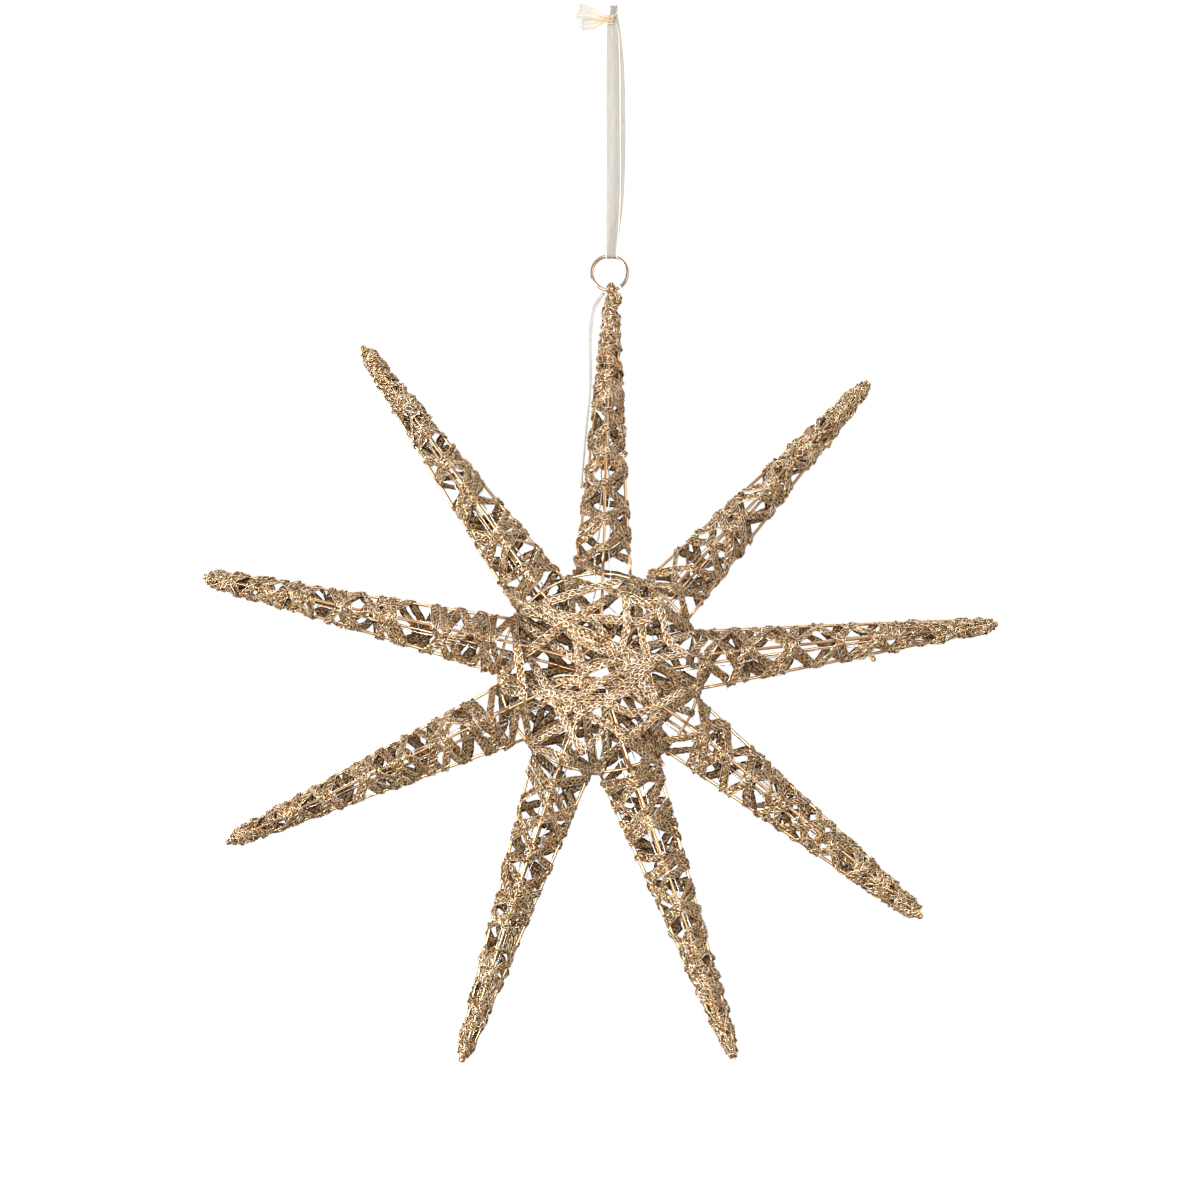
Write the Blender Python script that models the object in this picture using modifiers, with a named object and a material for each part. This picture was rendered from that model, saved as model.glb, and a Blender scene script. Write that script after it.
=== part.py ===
"""Nine-rayed wire star wound with metallic yarn, with a hanging ring and a ribbon loop.

Units are metres, +Z up, and the front of the star faces -Y.  The origin is the inside top of
the ribbon loop, the point that the whole ornament hangs from.
"""
import math

import bmesh
import bpy
from mathutils import Matrix, Vector

MM = 0.001

# ---------------------------------------------------------------- driving dimensions
STAR_CENTRE = Vector((-9.3 * MM, 0.0, -439.0 * MM))   # centre of the star from the hanging point

RAY_ANGLE = (1.7, 42.6, 83.1, 127.6, 161.0, 199.4, 245.2, 283.7, 324.1)   # degrees clockwise from up
RAY_LENGTH = (242.3, 251.3, 249.6, 247.5, 246.8, 251.2, 251.9, 255.1, 258.2)   # mm, centre to tip
BASE_SHIFT = (0.0, 0.0, 0.0, -6.4, 3.2, 4.6, 0.0, 2.5, -2.0)   # mm clockwise that a ray's root stands off its line
EDGE_SLOPE = 0.0774           # an edge wire nears its ray's axis by this, per length
TIP_HALF = 2.6 * MM           # its distance from the axis if it ran straight on to the tip
BEND = 9.0 * MM               # the wires bend in to the tip over this length

HOOP_R = 62.0 * MM            # round wire that the rays stand on
WIRE_R = 0.95 * MM            # frame wire, 1.9 mm
HALF_DEPTH = 27.0 * MM        # where the ridge lines of all rays would meet
HUB_RING_R = 12.0 * MM        # little ring that the short ridge wires end on
HUB_END_R = 61.5 * MM         # outer end of the short ridge wires
GAP = 0.35 * MM               # clearance between neighbouring solids

TAPE_W = 4.4 * MM             # plaited yarn, flat
TAPE_T = 0.8 * MM
TAPE_OFF = 2.65 * MM          # corner of the winding outside the wire centre
PITCH_TIP = 8.0 * MM          # turns lie closer towards the tip
PITCH_BASE = 15.0 * MM

RING_CENTRE = Vector((6.2 * MM, 0.0, 257.6 * MM))     # from the star's centre
RING_R = 11.4 * MM            # centre line, 25 mm outside
RING_WIRE_R = 1.05 * MM

RIBBON_T = 0.8 * MM
LEAD_R = 0.9 * MM
STRING_R = 0.4 * MM
LAMP_R = 1.3 * MM


# ---------------------------------------------------------------- scene set-up
for obj in list(bpy.data.objects):
    bpy.data.objects.remove(obj, do_unlink=True)

star = bpy.data.collections.new("wire_star")
bpy.context.scene.collection.children.link(star)
cutters = bpy.data.collections.new("helpers")
bpy.context.scene.collection.children.link(cutters)


def material(name, colour, roughness, metallic, alpha=1.0):
    mat = bpy.data.materials.new(name)
    mat.use_nodes = True
    bsdf = mat.node_tree.nodes["Principled BSDF"]
    bsdf.inputs["Base Color"].default_value = (*colour, 1.0)
    bsdf.inputs["Roughness"].default_value = roughness
    bsdf.inputs["Metallic"].default_value = metallic
    bsdf.inputs["Alpha"].default_value = alpha
    mat.diffuse_color = (*colour, 1.0)
    return mat


COPPER = material("copper_wire", (0.66, 0.38, 0.22), 0.28, 1.0)
YARN = material("champagne_yarn", (0.62, 0.47, 0.31), 0.42, 0.85)
CLEAR = material("clear_wire", (0.78, 0.77, 0.72), 0.2, 0.0, 0.6)
SILVER = material("light_wire", (0.72, 0.70, 0.66), 0.3, 0.4)
ORGANZA = material("ivory_ribbon", (0.80, 0.74, 0.64), 0.6, 0.0, 0.8)


def place(obj, mat, collection=star):
    obj.data.materials.clear()
    obj.data.materials.append(mat)
    collection.objects.link(obj)
    return obj


def helper(obj):
    obj.hide_render = True
    obj.display_type = 'WIRE'
    cutters.objects.link(obj)
    return obj


def smooth(obj, angle=40.0):
    obj.data.shade_smooth()
    obj.data.set_sharp_from_angle(angle=math.radians(angle))


def tube_curve(name, points, radius, resolution=1, radii=None):
    """A round wire along the points: a poly curve with a bevel and filled caps."""
    curve = bpy.data.curves.new(name, 'CURVE')
    curve.dimensions = '3D'
    curve.bevel_depth = radius
    curve.bevel_resolution = resolution
    curve.use_fill_caps = True
    spline = curve.splines.new('POLY')
    spline.points.add(len(points) - 1)
    for i, p in enumerate(points):
        spline.points[i].co = (*p, 1.0)
        spline.points[i].radius = radii[i] if radii else 1.0
    return bpy.data.objects.new(name, curve)


def as_mesh(curve_obj):
    """The curve as a closed mesh, its caps welded on."""
    bpy.context.scene.collection.objects.link(curve_obj)
    bpy.context.view_layer.update()
    deps = bpy.context.evaluated_depsgraph_get()
    mesh = bpy.data.meshes.new_from_object(curve_obj.evaluated_get(deps))
    bm = bmesh.new()
    bm.from_mesh(mesh)
    bmesh.ops.remove_doubles(bm, verts=bm.verts, dist=0.00001)
    bmesh.ops.recalc_face_normals(bm, faces=bm.faces)
    bm.to_mesh(mesh)
    bm.free()
    name, matrix = curve_obj.name, curve_obj.matrix_world.copy()
    bpy.data.objects.remove(curve_obj, do_unlink=True)
    obj = bpy.data.objects.new(name, mesh)
    obj.matrix_world = matrix
    return obj


def union(obj, other):
    mod = obj.modifiers.new("join_" + other.name, 'BOOLEAN')
    mod.operation = 'UNION'
    mod.object = other
    mod.solver = 'EXACT'


def strip(name, left, right, thickness):
    """A tape: the open surface between two edge lines, made solid on both sides."""
    mesh = bpy.data.meshes.new(name)
    bm = bmesh.new()
    a = [bm.verts.new(p) for p in left]
    b = [bm.verts.new(p) for p in right]
    for i in range(len(a) - 1):
        bm.faces.new((a[i], a[i + 1], b[i + 1], b[i]))
    bm.to_mesh(mesh)
    bm.free()
    obj = bpy.data.objects.new(name, mesh)
    solid = obj.modifiers.new("thickness", 'SOLIDIFY')
    solid.thickness = thickness
    solid.offset = 0.0
    solid.use_even_offset = True
    return obj


def catmull(points, spacing):
    """Smooth curve through the points, read off about every spacing."""
    pts = [Vector(p) for p in points]
    pts = [2 * pts[0] - pts[1]] + pts + [2 * pts[-1] - pts[-2]]
    out = []
    for i in range(1, len(pts) - 2):
        p0, p1, p2, p3 = pts[i - 1:i + 3]
        n = max(1, round((p2 - p1).length / spacing))
        for k in range(n):
            t = k / n
            out.append(0.5 * ((2 * p1) + (p2 - p0) * t + (2 * p0 - 5 * p1 + 4 * p2 - p3) * t * t
                              + (3 * p1 - p0 - 3 * p2 + p3) * t ** 3))
    out.append(pts[-2])
    return out


# ---------------------------------------------------------------- geometry of the rays
def direction(angle):
    a = math.radians(angle)
    return Vector((math.sin(a), 0.0, math.cos(a)))


class Ray:
    """One ray: its axis, its sideways direction, and the slopes of its four wires."""

    def __init__(self, index):
        self.length = RAY_LENGTH[index] * MM
        self.axis = direction(RAY_ANGLE[index])
        self.side = Vector((self.axis.z, 0.0, -self.axis.x))      # clockwise side
        before = math.radians((RAY_ANGLE[index] - RAY_ANGLE[index - 1]) % 360) / 2
        after = math.radians((RAY_ANGLE[(index + 1) % 9] - RAY_ANGLE[index]) % 360) / 2
        self.half_space = min(before, after)
        self.rise = (HALF_DEPTH - TIP_HALF) / self.length
        self.root_shift = BASE_SHIFT[index] * MM

    def at(self, along, sideways=0.0, depth=0.0):
        """depth is positive towards the back (+Y)."""
        sideways += self.root_shift * (1 - along / self.length) * min(1.0, along / (60 * MM))
        return STAR_CENTRE + self.axis * along + self.side * sideways + Vector((0.0, depth, 0.0))

    def half_width(self, along):
        return TIP_HALF + EDGE_SLOPE * (self.length - along)

    def half_depth(self, along):
        return TIP_HALF + self.rise * (self.length - along)

    def wrap_start(self):
        """Nearest to the centre that a turn can lie without touching the neighbour's turn."""
        reach = TAPE_OFF + 1.2 * MM
        near = (self.half_width(0.0) + reach) / (math.tan(self.half_space) + EDGE_SLOPE)
        return max(near, HOOP_R + 3.0 * MM) + TAPE_W / 2


rays = [Ray(i) for i in range(9)]


# ---------------------------------------------------------------- the frame
def make_hoop():
    bpy.ops.mesh.primitive_torus_add(major_radius=HOOP_R, minor_radius=WIRE_R, major_segments=36,
                                     minor_segments=6, location=STAR_CENTRE,
                                     rotation=(math.radians(90), 0, 0))
    obj = bpy.context.object
    obj.name = "hoop"
    bpy.context.collection.objects.unlink(obj)
    place(obj, COPPER)
    smooth(obj)


def make_hub(name, facing):
    """The little ring with its nine short ridge wires; facing is -1 in front, +1 behind."""
    ring_depth = TIP_HALF + (HALF_DEPTH - TIP_HALF) * (1 - HUB_RING_R / (250 * MM))
    bpy.ops.mesh.primitive_torus_add(major_radius=HUB_RING_R, minor_radius=WIRE_R, major_segments=18,
                                     minor_segments=6,
                                     location=STAR_CENTRE + Vector((0, facing * ring_depth, 0)),
                                     rotation=(math.radians(90), 0, 0))
    obj = bpy.context.object
    obj.name = name
    bpy.context.collection.objects.unlink(obj)
    place(obj, COPPER)
    for i, ray in enumerate(rays):
        ends = [ray.at(r, 0.0, facing * ray.half_depth(r)) for r in (HUB_RING_R + 0.1 * MM, HUB_END_R)]
        union(obj, helper(as_mesh(tube_curve(f"{name}_spoke_{i + 1}", ends, WIRE_R))))


def make_ray_frame(index):
    """Four wires that bend in to the tip, where a short tapered block of joined wire ends them."""
    ray = rays[index]
    name = f"ray_frame_{index + 1}"
    joint = 5.0 * MM                       # length over which the wires touch
    bm = bmesh.new()
    bmesh.ops.create_cone(bm, cap_ends=True, segments=4, radius1=3.4 * MM, radius2=1.45 * MM, depth=joint)
    mesh = bpy.data.meshes.new(name)
    bm.to_mesh(mesh)
    bm.free()
    obj = bpy.data.objects.new(name, mesh)
    middle = ray.at(ray.length - 0.5 * joint)
    obj.matrix_world = Matrix.Translation(middle) @ Matrix((ray.side, Vector((0, 1, 0)), ray.axis)).transposed().to_4x4()
    place(obj, COPPER)

    edge_start = HOOP_R + 0.6 * MM         # edge wires stop just outside the hoop
    ridge_start = HUB_END_R + GAP + 0.2 * MM
    knee = ray.length - BEND
    end = ray.length - 2.5 * MM
    lines = []
    for sign in (-1, 1):
        lines.append((Vector((edge_start, sign * ray.half_width(edge_start), 0)),
                      Vector((knee, sign * ray.half_width(knee), 0)),
                      Vector((end, sign * 0.8 * MM, 0))))
    for facing in (-1, 1):
        lines.append((Vector((ridge_start, 0, facing * ray.half_depth(ridge_start))),
                      Vector((knee, 0, facing * ray.half_depth(knee))),
                      Vector((end, 0, facing * 0.8 * MM))))
    for k, line in enumerate(lines):
        route = [ray.at(*p) for p in line]
        union(obj, helper(as_mesh(tube_curve(f"{name}_wire_{k + 1}", route, WIRE_R))))


# ---------------------------------------------------------------- the windings
def make_ray_wrap(index):
    """A flat tape wound round the four wires, its turns opening towards the star's centre."""
    ray = rays[index]
    start = ray.wrap_start()
    stop = ray.length - 6.5 * MM
    corners = ((1, 0), (0, 1), (-1, 0), (0, -1))    # right edge, back ridge, left edge, front ridge
    left, right = [], []
    s, k = start, index
    while s < stop:
        across, depth = corners[k % 4]
        for edge, offset in ((left, -TAPE_W / 2), (right, TAPE_W / 2)):
            t = s + offset
            edge.append(ray.at(t, across * (ray.half_width(t) + TAPE_OFF),
                               depth * (ray.half_depth(t) + TAPE_OFF)))
        share = (s - start) / (stop - start)
        s += (PITCH_BASE + (PITCH_TIP - PITCH_BASE) * share) / 4
        k += 1
    place(strip(f"ray_wrap_{index + 1}", left, right, TAPE_T), YARN)


def make_hub_wrap(name, facing):
    """The same tape laid over the ridge wires in a widening ring, from the centre outwards."""
    lift = (WIRE_R + GAP + TAPE_T / 2) * 1.02
    left, right = [], []
    r, k = 18.0 * MM, 0
    while r < 56.0 * MM:
        ray = rays[k % 9]
        for edge, offset in ((left, -TAPE_W / 2), (right, TAPE_W / 2)):
            t = r + offset
            edge.append(ray.at(t, 0.0, facing * (ray.half_depth(t) + lift)))
        r += 8.2 * MM / 9
        k += 1
    place(strip(name, left, right, TAPE_T), YARN)


# ---------------------------------------------------------------- lights and lead
def make_light_string():
    """Thin wire that runs out and back along each ray inside the star, with small lamps on it."""
    depth = 3.0 * MM
    points, radii = [], []

    def add(p, r=1.0):
        points.append(p)
        radii.append(r)

    def lamp(p, along):
        for step, r in ((-1.7, 1.0), (-0.8, LAMP_R / STRING_R), (0.8, LAMP_R / STRING_R), (1.7, 1.0)):
            add(p + along * step * MM, r)

    for i, ray in enumerate(rays):
        turn = ray.length - 30 * MM
        def lane(along, sign):
            return sign * 0.3 * ray.half_width(along)
        shallow = 0.2 * depth
        p0, p1 = ray.at(48 * MM, lane(70 * MM, -1), depth), ray.at(turn, lane(turn, -1), shallow)
        out = (p1 - p0).normalized()
        add(p0)
        lamp(p0 + out * 48 * MM, out)
        add(p1)
        add(ray.at(turn + 1.2 * MM, 0.0, shallow))
        q0, q1 = ray.at(turn, lane(turn, 1), shallow), ray.at(48 * MM, lane(70 * MM, 1), depth)
        back = (q1 - q0).normalized()
        add(q0)
        lamp(q1 - back * 106 * MM, back)
        add(q1)
    obj = tube_curve("light_string", points, STRING_R, 1, radii)
    place(as_mesh(obj), SILVER)


LEAD_ROUTE = ((2.6, -0.4, 244.0), (-0.6, -1.6, 236.5), (-3.7, -2.4, 227.7), (-5.7, -3.4, 210.0),
              (-6.0, -4.6, 192.0), (-6.6, -5.8, 176.0), (-8.7, -6.6, 154.0), (-10.7, -6.4, 130.0),
              (-11.7, -5.6, 115.4))


def make_lead():
    """Clear wire beside the top ray, from the ring's foot down to the ray's left edge."""
    route = [STAR_CENTRE + Vector(p) * MM for p in LEAD_ROUTE]
    place(tube_curve("lead_wire", catmull(route, 4.5 * MM), LEAD_R, 2), CLEAR)


# ---------------------------------------------------------------- ring, binding and ribbon
def make_ring():
    bpy.ops.mesh.primitive_torus_add(major_radius=RING_R, minor_radius=RING_WIRE_R, major_segments=30,
                                     minor_segments=6, location=STAR_CENTRE + RING_CENTRE,
                                     rotation=(math.radians(90), 0, 0))
    obj = bpy.context.object
    obj.name = "hanging_ring"
    bpy.context.collection.objects.unlink(obj)
    place(obj, COPPER)
    smooth(obj)


def cylinder(name, radius, depth, segments):
    bm = bmesh.new()
    bmesh.ops.create_cone(bm, cap_ends=True, segments=segments, radius1=radius, radius2=radius, depth=depth)
    mesh = bpy.data.meshes.new(name)
    bm.to_mesh(mesh)
    bm.free()
    return bpy.data.objects.new(name, mesh)


def make_binding():
    """The yarn knob round the ring's lowest point."""
    lean = math.radians(7.0)
    where = STAR_CENTRE + RING_CENTRE + Vector((math.sin(lean), 0, -math.cos(lean))) * RING_R
    turn = Matrix.Translation(where) @ Matrix.Rotation(math.radians(90) - lean, 4, 'Y')
    body = cylinder("ring_binding", 3.0 * MM, 4.4 * MM, 12)
    body.matrix_world = turn
    bore = cylinder("ring_binding_bore", 1.75 * MM, 8.0 * MM, 12)
    bore.matrix_world = turn
    place(body, YARN)
    helper(bore)
    cut = body.modifiers.new("bore", 'BOOLEAN')
    cut.operation = 'DIFFERENCE'
    cut.object = bore
    cut.solver = 'EXACT'


# Stations down the front strand, under the ring's top wire and up the back strand to the fold:
# across (x), depth (y) and height (z) from the star's centre, and the width there, in mm.
RIBBON_PATH = ((7.6, -5.0, 428.2, 4.4), (7.6, -4.9, 423.0, 7.2), (8.2, -5.2, 410.0, 9.4),
               (8.7, -5.6, 380.0, 9.9), (8.9, -5.6, 345.0, 9.9), (8.6, -5.2, 310.0, 9.9),
               (7.9, -4.2, 288.0, 8.6), (7.3, -3.0, 273.0, 6.8))
RIBBON_BACK = ((7.5, 3.0, 273.0, 6.8), (9.4, 4.2, 288.0, 8.4), (11.6, 5.2, 310.0, 9.4),
               (12.7, 5.6, 345.0, 9.8), (12.5, 5.6, 380.0, 9.8), (11.6, 5.2, 410.0, 9.0),
               (10.6, 4.4, 428.0, 6.6), (9.6, 3.6, 436.0, 5.2))
FOLD_R = 2.85 * MM           # centre line of the fold round the ring's wire
TOP_R = 3.4 * MM             # centre line of the fold at the top


def ribbon_strip(name, stations):
    left = [STAR_CENTRE + Vector((x - w / 2, y, z)) * MM for x, y, z, w in stations]
    right = [STAR_CENTRE + Vector((x + w / 2, y, z)) * MM for x, y, z, w in stations]
    return strip(name, left, right, RIBBON_T)


def make_ribbon():
    wire_top = RING_CENTRE.z + RING_R
    stations = list(RIBBON_PATH)
    for k in range(7):
        a = math.pi * k / 6
        stations.append((7.3 + 0.2 * k / 6, -FOLD_R * math.cos(a) / MM,
                         (wire_top - FOLD_R * math.sin(a)) / MM, 6.4))
    stations += list(RIBBON_BACK)
    top = 439.0 + 0.4 - TOP_R / MM        # the inside of the fold is at the origin
    for k in range(7):
        a = math.pi * k / 6
        stations.append((9.4 - 0.4 * k / 6, TOP_R * math.cos(a) / MM, top + TOP_R * math.sin(a) / MM, 4.9))
    stations.append((8.4, -4.1, 433.0, 4.4))
    stations.append((7.6, -5.2, 430.6, 4.0))
    loop = ribbon_strip("ribbon_loop", stations)
    helper(loop)

    bm = bmesh.new()
    bmesh.ops.create_uvsphere(bm, u_segments=12, v_segments=8, radius=1.0)
    mesh = bpy.data.meshes.new("ribbon")
    bm.to_mesh(mesh)
    bm.free()
    knot = bpy.data.objects.new("ribbon", mesh)
    knot.matrix_world = (Matrix.Translation(STAR_CENTRE + Vector((6.8, -5.6, 429.4)) * MM)
                         @ Matrix.Diagonal((3.1 * MM, 2.4 * MM, 3.3 * MM, 1.0)))
    place(knot, ORGANZA)
    union(knot, loop)

    # Two cut tails that leave the knot to the left and spread.
    for name, y0, tail in (("tail_upper", -5.2, ((7.0, 0.0, 429.6, 3.0), (1.0, -0.3, 429.4, 3.6),
                                                 (-4.0, -0.6, 431.6, 5.4), (-12.5, -0.6, 434.6, 8.2))),
                           ("tail_lower", -6.6, ((7.0, 0.0, 429.2, 3.0), (1.0, -0.3, 429.0, 3.4),
                                                 (-4.0, -0.6, 427.6, 5.2), (-10.0, -0.9, 426.0, 8.0)))):
        pts = [Vector((x, y0 + y, z)) for x, y, z, w in tail]
        left, right = [], []
        for i, p in enumerate(pts):
            a, b = pts[max(0, i - 1)], pts[min(len(pts) - 1, i + 1)]
            run = (b - a).normalized()
            across = Vector((-run.z, 0.0, run.x)).normalized() * tail[i][3] / 2
            left.append(STAR_CENTRE + (p + across) * MM)
            right.append(STAR_CENTRE + (p - across) * MM)
        union(knot, helper(strip(name, left, right, RIBBON_T)))


make_hoop()
make_hub("front_hub", -1)
make_hub("back_hub", 1)
for n in range(9):
    make_ray_frame(n)
for n in range(9):
    make_ray_wrap(n)
make_hub_wrap("front_hub_wrap", -1)
make_hub_wrap("back_hub_wrap", 1)
make_light_string()
make_lead()
make_ring()
make_binding()
make_ribbon()
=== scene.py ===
import math

import bpy
import numpy as np
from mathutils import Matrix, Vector


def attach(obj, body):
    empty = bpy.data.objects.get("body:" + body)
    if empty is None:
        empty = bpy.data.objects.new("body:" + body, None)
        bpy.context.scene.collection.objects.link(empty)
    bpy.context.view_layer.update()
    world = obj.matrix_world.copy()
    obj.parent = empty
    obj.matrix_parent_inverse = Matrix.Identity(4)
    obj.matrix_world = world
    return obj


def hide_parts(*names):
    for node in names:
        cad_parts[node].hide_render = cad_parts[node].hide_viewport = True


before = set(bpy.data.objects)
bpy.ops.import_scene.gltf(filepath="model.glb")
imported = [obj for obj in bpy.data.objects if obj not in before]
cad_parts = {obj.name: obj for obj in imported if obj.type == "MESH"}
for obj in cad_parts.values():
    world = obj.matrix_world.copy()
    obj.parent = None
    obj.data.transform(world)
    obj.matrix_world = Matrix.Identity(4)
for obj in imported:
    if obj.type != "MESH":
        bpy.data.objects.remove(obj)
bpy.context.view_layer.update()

MM = 0.001

# ------------------------------------------------------------------ the object's own sizes, in mm
# Star centre from the hanging point; everything below is worked out from the star's centre.
CENTRE = np.array([-9.3, 0.0, -439.0])
RAY_ANGLE = (1.7, 42.6, 83.1, 127.6, 161.0, 199.4, 245.2, 283.7, 324.1)
RAY_LENGTH = (242.3, 251.3, 249.6, 247.5, 246.8, 251.2, 251.9, 255.1, 258.2)
BASE_SHIFT = (0.0, 0.0, 0.0, -6.4, 3.2, 4.6, 0.0, 2.5, -2.0)
EDGE_SLOPE = 0.0774
TIP_HALF = 2.6
WIDER = ((0.6, 0.0), (0.6, 0.0), (0.6, -0.3), (1.7, 0.9), (1.0, 0.0), (1.0, 0.0), (1.0, 0.0), (-0.2, 1.0), (-0.6, 0.2))
HOOP_R = 62.0
WIRE_R = 0.95
HALF_DEPTH = 27.0
HUB_RING_R = 12.0
RING_CENTRE = np.array([6.2, 0.0, 257.6])
RING_R = 11.4
RING_WIRE_R = 1.05


def to_world(p):
    return (np.asarray(p, float) + CENTRE) * MM


# ------------------------------------------------------------------ camera
cam_data = bpy.data.cameras.new("camera")
cam_data.sensor_width = 36.0
cam_data.lens = 66.0
cam_data.clip_start = 0.05
cam_data.clip_end = 40.0
cam = bpy.data.objects.new("camera", cam_data)
cam.location = to_world((0.1, -1351.4, -189.9))
cam.rotation_euler = (math.radians(90 + 9.869), 0.0, 0.0)
bpy.context.scene.collection.objects.link(cam)
bpy.context.scene.camera = cam


# ------------------------------------------------------------------ materials
def new_material(name):
    mat = bpy.data.materials.new(name)
    mat.use_nodes = True
    nt = mat.node_tree
    for n in list(nt.nodes):
        nt.nodes.remove(n)
    out = nt.nodes.new("ShaderNodeOutputMaterial")
    bsdf = nt.nodes.new("ShaderNodeBsdfPrincipled")
    nt.links.new(bsdf.outputs[0], out.inputs[0])
    return mat, nt, bsdf, out


def node(nt, kind, **values):
    n = nt.nodes.new(kind)
    for k, v in values.items():
        if k in n.inputs:
            n.inputs[k].default_value = v
        else:
            setattr(n, k, v)
    return n


def ramp(nt, stops, source, interpolation='LINEAR'):
    r = nt.nodes.new("ShaderNodeValToRGB")
    r.color_ramp.interpolation = interpolation
    els = r.color_ramp.elements
    while len(els) < len(stops):
        els.new(0.5)
    for e, (pos, col) in zip(els, stops):
        e.position = pos
        e.color = (*col, 1.0) if len(col) == 3 else col
    nt.links.new(source, r.inputs[0])
    return r


def yarn_material(name, stops, painted_flank_shade, metallic, flake=1500.0, tilt=0.85, rough=(0.26, 0.5), through=0.2):
    """Metallic champagne yarn: foil flakes, each with its own tilt and its own brightness (partly random tone, partly
    painted glints and shade specks), with painted shade darkening each thread's flanks.
    The yarn is loose enough for a share of the light to come through it."""
    mat, nt, bsdf, out = new_material(name)
    co = nt.nodes.new("ShaderNodeTexCoord")
    flakes = node(nt, "ShaderNodeTexVoronoi", Scale=flake)
    nt.links.new(co.outputs["Object"], flakes.inputs["Vector"])
    sep = nt.nodes.new("ShaderNodeSeparateColor")
    nt.links.new(flakes.outputs["Color"], sep.inputs[0])
    # each flake's colour runs from dark brown to near-white cream: partly random tone of the foil, partly painted
    # glints and painted shade specks
    foil = ramp(nt, stops, sep.outputs[0])
    patches = node(nt, "ShaderNodeTexNoise", Scale=95.0, Detail=3.0)
    nt.links.new(co.outputs["Object"], patches.inputs["Vector"])
    tone = ramp(nt, [(0.32, (0.80, 0.74, 0.66)), (0.62, (1.0, 1.0, 1.0))], patches.outputs[0])
    mul = node(nt, "ShaderNodeMix", data_type='RGBA', blend_type='MULTIPLY')
    mul.inputs["Factor"].default_value = 1.0
    nt.links.new(foil.outputs[0], mul.inputs[6])
    nt.links.new(tone.outputs[0], mul.inputs[7])
    # the first texture coordinate is 1 along a thread's crest and 0 along its flanks, which are painted dark as shade
    across = nt.nodes.new("ShaderNodeSeparateXYZ")
    nt.links.new(co.outputs["UV"], across.inputs[0])
    crest = node(nt, "ShaderNodeMapRange", interpolation_type='SMOOTHSTEP')
    crest.inputs["From Min"].default_value = 0.20
    crest.inputs["From Max"].default_value = 0.64
    nt.links.new(across.outputs[0], crest.inputs["Value"])
    # base colour: painted shade on each thread's flanks, the foil colour on its crest
    shade = node(nt, "ShaderNodeMix", data_type='RGBA')
    nt.links.new(crest.outputs[0], shade.inputs["Factor"])
    shade.inputs[6].default_value = (*painted_flank_shade, 1.0)
    nt.links.new(mul.outputs[2], shade.inputs[7])
    nt.links.new(shade.outputs[2], bsdf.inputs["Base Color"])
    bsdf.inputs["Metallic"].default_value = metallic
    r = node(nt, "ShaderNodeMapRange")
    r.inputs["To Min"].default_value = rough[0]
    r.inputs["To Max"].default_value = rough[1]
    nt.links.new(sep.outputs[1], r.inputs["Value"])
    nt.links.new(r.outputs[0], bsdf.inputs["Roughness"])
    # each flake tilts its own way
    geo = nt.nodes.new("ShaderNodeNewGeometry")
    lean = node(nt, "ShaderNodeVectorMath", operation='MULTIPLY_ADD')
    lean.inputs[1].default_value = (tilt, tilt, tilt)
    lean.inputs[2].default_value = (-tilt / 2, -tilt / 2, -tilt / 2)
    nt.links.new(flakes.outputs["Color"], lean.inputs[0])
    add = node(nt, "ShaderNodeVectorMath", operation='ADD')
    nt.links.new(geo.outputs["Normal"], add.inputs[0])
    nt.links.new(lean.outputs[0], add.inputs[1])
    nrm = node(nt, "ShaderNodeVectorMath", operation='NORMALIZE')
    nt.links.new(add.outputs[0], nrm.inputs[0])
    nt.links.new(nrm.outputs[0], bsdf.inputs["Normal"])
    glow = nt.nodes.new("ShaderNodeBsdfTranslucent")
    nt.links.new(shade.outputs[2], glow.inputs["Color"])
    both = nt.nodes.new("ShaderNodeMixShader")
    both.inputs[0].default_value = through
    nt.links.new(bsdf.outputs[0], both.inputs[1])
    nt.links.new(glow.outputs[0], both.inputs[2])
    nt.links.new(both.outputs[0], out.inputs[0])
    return mat


def copper_material(name, colour=(0.80, 0.49, 0.27), dark=(0.50, 0.26, 0.12), roughness=(0.16, 0.34)):
    mat, nt, bsdf, out = new_material(name)
    co = nt.nodes.new("ShaderNodeTexCoord")
    tarnish = node(nt, "ShaderNodeTexNoise", Scale=60.0, Detail=5.0, Roughness=0.6)
    nt.links.new(co.outputs["Object"], tarnish.inputs["Vector"])
    col = ramp(nt, [(0.30, dark), (0.52, colour), (0.8, tuple(min(1.0, c * 1.12) for c in colour))],
               tarnish.outputs[0])
    nt.links.new(col.outputs[0], bsdf.inputs["Base Color"])
    bsdf.inputs["Metallic"].default_value = 1.0
    rough = node(nt, "ShaderNodeMapRange")
    rough.inputs["To Min"].default_value = roughness[0]
    rough.inputs["To Max"].default_value = roughness[1]
    nt.links.new(tarnish.outputs[0], rough.inputs["Value"])
    nt.links.new(rough.outputs[0], bsdf.inputs["Roughness"])
    return mat


def clear_material(name, colour, roughness, transmission, metallic=0.0, alpha=1.0):
    mat, nt, bsdf, out = new_material(name)
    co = nt.nodes.new("ShaderNodeTexCoord")
    n = node(nt, "ShaderNodeTexNoise", Scale=140.0, Detail=3.0)
    nt.links.new(co.outputs["Object"], n.inputs["Vector"])
    col = ramp(nt, [(0.3, tuple(c * 0.82 for c in colour)), (0.7, colour)], n.outputs[0])
    nt.links.new(col.outputs[0], bsdf.inputs["Base Color"])
    bsdf.inputs["Roughness"].default_value = roughness
    bsdf.inputs["Transmission Weight"].default_value = transmission
    bsdf.inputs["Metallic"].default_value = metallic
    bsdf.inputs["Alpha"].default_value = alpha
    bsdf.inputs["IOR"].default_value = 1.45
    return mat


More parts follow.
